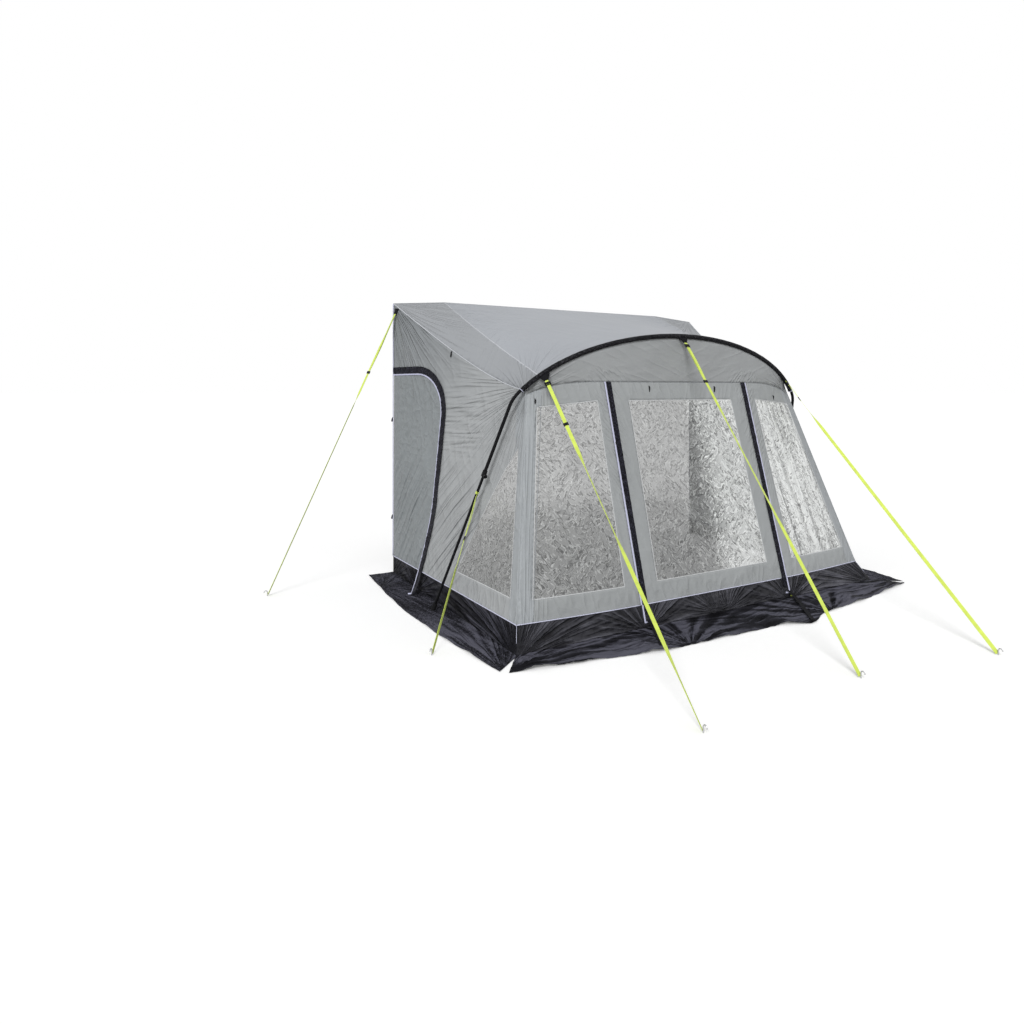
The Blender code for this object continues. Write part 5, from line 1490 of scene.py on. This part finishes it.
def make_skirts():
    length = -GROUND_CORNER_Y
    for word, sign in SIDES.items():
        inner = [(ground_x(y) - SKIRT_TUCK, y) for y in span(0, GROUND_CORNER_Y, 30)]
        hem = [(SKIRT_CORNER[0] + SKIRT_SLIT, SKIRT_CORNER[1] + SKIRT_SLIT)]
        for share in span(1, 0, 30)[1:]:
            width = lerp(SKIRT_REAR_WIDTH, SKIRT_SIDE_WIDTH, sin(share * pi))
            width += 0.008 * noise.noise(Vector((share * 9, 0.5, sign)))
            hem.append((ground_x(GROUND_CORNER_Y * share) + width, GROUND_CORNER_Y * share))

        def side(x, y):
            run = (abs(x) - ground_x(y) + SKIRT_TUCK) / SKIRT_REAR_WIDTH
            return skirt_point(x, y, -y, length, run, SIDE_FOLD_SHARES, 1.5 + sign, 0.55, 0.3)

        make_skirt(side, mirrored(inner + [SKIRT_NOTCH] + hem, sign), word, "skirt_side",
                   (0.42, 2.5), "mud_sheet_" + word)
    reach = SKIRT_CORNER[0] - SKIRT_SLIT
    corner = (reach, SKIRT_CORNER[1] - SKIRT_SLIT)
    inner = [(x, front_y(x, 0) + SKIRT_TUCK) for x in span(-GROUND_CORNER_X, GROUND_CORNER_X, 40)]
    hem = []
    for share in span(1, -1, 60)[1:-1]:
        x = GROUND_CORNER_X * share
        width = lerp(SKIRT_CORNER_WIDTH, SKIRT_FRONT_WIDTH, 1 - share * share)
        width -= 0.012 * (0.5 + noise.noise(Vector((share * 14, 2.5, 0.5))))
        width += sum(pull * exp(-((x - pull_x) / HEM_PULL_SPREAD) ** 2)
                     for pull_x, pull in HEM_PULLS)
        hem.append((x, GROUND_FRONT_Y - width))
    notch = (SKIRT_NOTCH[0], SKIRT_NOTCH[1] - SKIRT_TUCK)

    def front(x, y):
        run = (GROUND_FRONT_Y + SKIRT_TUCK - y) / SKIRT_CORNER_WIDTH
        return skirt_point(x, y, x + reach, 2 * reach, run, FRONT_FOLD_SHARES, 7.5, 1, 0.7)

    make_skirt(front, inner + [notch, corner, *hem, *mirrored([corner, notch], -1)], "front",
               "skirt_front", (3.95, 0.45), "mud_front_sheet")


# Sleeve, small fittings and trims

def make_sleeve():
    """The cloth sleeve round the arch pole, puckered along its seam, with a bound rim each end."""
    across = Vector((0, 1, HOOP_LEAN)).normalized()
    build = bmesh.new()
    rings = []
    for x in span(-SLEEVE_END_X, SLEEVE_END_X, 170):
        point, up = sleeve_point(x), sleeve_along(x).cross(across).normalized()
        ring = []
        for a, b in turns(0, 2 * pi, 18)[:-1]:
            out = across * a + up * b
            pucker = (noise.noise(point * 22 + out * 2) * 0.0016
                      + noise.noise(point * 60 + out) * 0.0006)
            ring.append(point + out * (SLEEVE_SLIM + pucker))
        rings.append(corners_at(build, ring))
    join_rings(build, rings)
    piece = finish_piece(build, "sleeve_cloth", "sleeve", replaces="arch_sleeve")
    thicken(piece, SHEET, -1)
    rims = []
    for sign in SIDES.values():
        x = sign * (SLEEVE_END_X - 0.003)
        up = sleeve_along(x).cross(across).normalized()
        rim = around(sleeve_point(x), across, up, SLEEVE_SLIM, 24)
        rims.append((rim + rim[:1], RIM_RADIUS))
    rods("sleeve_rims", rims, "piping")


def toggle(spot, normal):
    """Lines of one small toggle on a loop, hung from a seam."""
    hang = spot + normal * 0.008 + Vector((0, 0, -0.018))
    side = normal.cross(Vector(UP)).normalized() * 0.003
    low = normal * 0.006 - Vector((0, 0, 0.006))
    loop = [spot + side, spot + side + low, hang, spot - side + low, spot - side]
    body = [hang - Vector(drop) for drop in ((0, 0, -0.008), (0.002, 0, 0.014), (0.006, 0, 0.034))]
    return [(loop, 0.002), (body, 0.0066)]


def make_toggles():
    lines = []
    for spot, normal in hung(front_face, FRONT, TOGGLE_PLACES, CLOTH):
        lines += toggle(spot, normal)
    y = ROOF_TOGGLE_Y
    for sign in SIDES.values():
        spot = Vector((sign * side_seam_x(y), y, side_seam_z(y) - 0.004))
        lines += toggle(spot, Vector((sign, 0, 0)))
    rods("toggles", lines, "black", sides=8)


def buckle(centre, along, wide, length, width, bar):
    """Lines of a ladder-lock buckle: two side rails and three ribs across the webbing."""
    def line(*places):
        return [centre + along * (a * length / 2) + wide * (b * width / 2) for a, b in places]
    rails = [(line((-1, side), (0, side * 1.05), (1, side)), bar) for side in (-1, 1)]
    return rails + [(line((a, -0.95), (a, 0), (a, 0.95)), bar * 1.15) for a in (-0.8, 0, 0.8)]


def make_guy_fittings():
    """Patches, top buckles and loops where the guy lines start."""
    lines, patches, loops = [], [], []
    for word in GUYS:
        start, down, wide, _ = guy_line(word)
        if word == "leg_left":
            centre, axis = leg_carrier()
            one = (start - centre - axis * (start - centre).dot(axis)).normalized()
            outs = [one * a + axis.cross(one) * b
                    for a, b in turns(LOOP_GAP, 2 * pi - LOOP_GAP, 24)]
            ring = [(centre + out * (SPIGOT_RADIUS + 0.0008), out) for out in outs]
            loops.append((ring, WEB_WIDTH * 0.8, TAPE_END_THICK))
            continue
        thin = down.cross(wide)
        outward = thin if thin.y < 0 or (word == "rear_left" and thin.x < 0) else -thin
        if word == "rear_left":
            places, sink, broad, thick = (-0.012, 0, 0.02, 0.045), 0.003, 0.06, 0.006
        else:
            places, sink, broad, thick = (-0.02, 0, 0.02, 0.04, 0.05), 0.0035, 0.092, 0.007
            lines += buckle(start + down * 0.084 + outward * 0.002, down, wide, 0.03, 0.036,
                            0.0052)
        patches.append(([(start + down * at - outward * sink, outward) for at in places],
                        lambda share, broad=broad: lerp(broad, 0.028, smooth(share)), thick))
    ribbons("guy_patches", patches, "black_web", smooth_shade=True)
    ribbons("leg_loop", loops, "web")
    rods("top_buckles", lines, "black", sides=8)


def make_rear_tabs():
    """Short loops along the rear edge, where the walls are pegged or pulled to the caravan."""
    hook = ((0.004, 0.016), (0.01, 0.006), (0.014, -0.008), (0.015, -0.022))
    ribbons("rear_tabs", [([(Vector((sign * (RAIL_HALF + run), 0, z + rise)), FRONT)
                            for run, rise in hook], *TAB_SIZE)
                          for sign in SIDES.values() for z in TAB_HEIGHTS], "black_web")


# Floor, light and background

def make_stage():
    bpy.ops.mesh.primitive_plane_add(size=FLOOR_SIZE, location=(0, 0, -0.001))
    floor = bpy.context.object
    floor.name = "floor"
    n = new_material("floor_paint")
    seen = n.seen()
    pale = n.ramp(n.noise(0.8), [(0.3, (0.985, 0.985, 0.985)), (0.7, (1, 1, 1))])
    floor.data.materials.append(n.shade(
        Base_Color=n.mix(seen, FLOOR_GREY, pale), Roughness=0.9, Specular_IOR_Level=0,
        Emission_Color=WHITE, Emission_Strength=seen * FLOOR_GLOW))
    world = bpy.data.worlds.new("studio")
    bpy.context.scene.world = world
    n = Nodes(world)
    mix = n.node("MixShader", Fac=n.seen())
    for socket, strength in zip(mix.inputs[1:], (WORLD_LIGHT, 1)):
        n.put(socket, n.add("Background", "Background", Color=WHITE, Strength=strength))
    n.put(n.tree.nodes["World Output"].inputs["Surface"], Value(n, mix.outputs[0]))
    data = bpy.data.lights.new("sun", "SUN")
    data.energy, data.angle = SUN_ENERGY, radians(SUN_ANGLE_DEG)
    into_scene("sun", data).rotation_euler = [radians(turn) for turn in SUN_TURN_DEG]


make_camera()
for guy_word in GUYS:
    make_guy(guy_word)
for make in (make_roof, make_header, make_front, make_sides, make_mud_walls, make_skirts,
             make_sleeve, make_front_trims, make_piping, make_toggles, make_guy_fittings,
             make_rear_tabs, make_stage):
    make()
for node_name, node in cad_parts.items():
    for start, look in NODE_LOOKS.items():
        if node_name.startswith(start):
            node.data.materials.clear()
            node.data.materials.append(LOOK[look])
bpy.context.scene.view_settings.view_transform = "Standard"
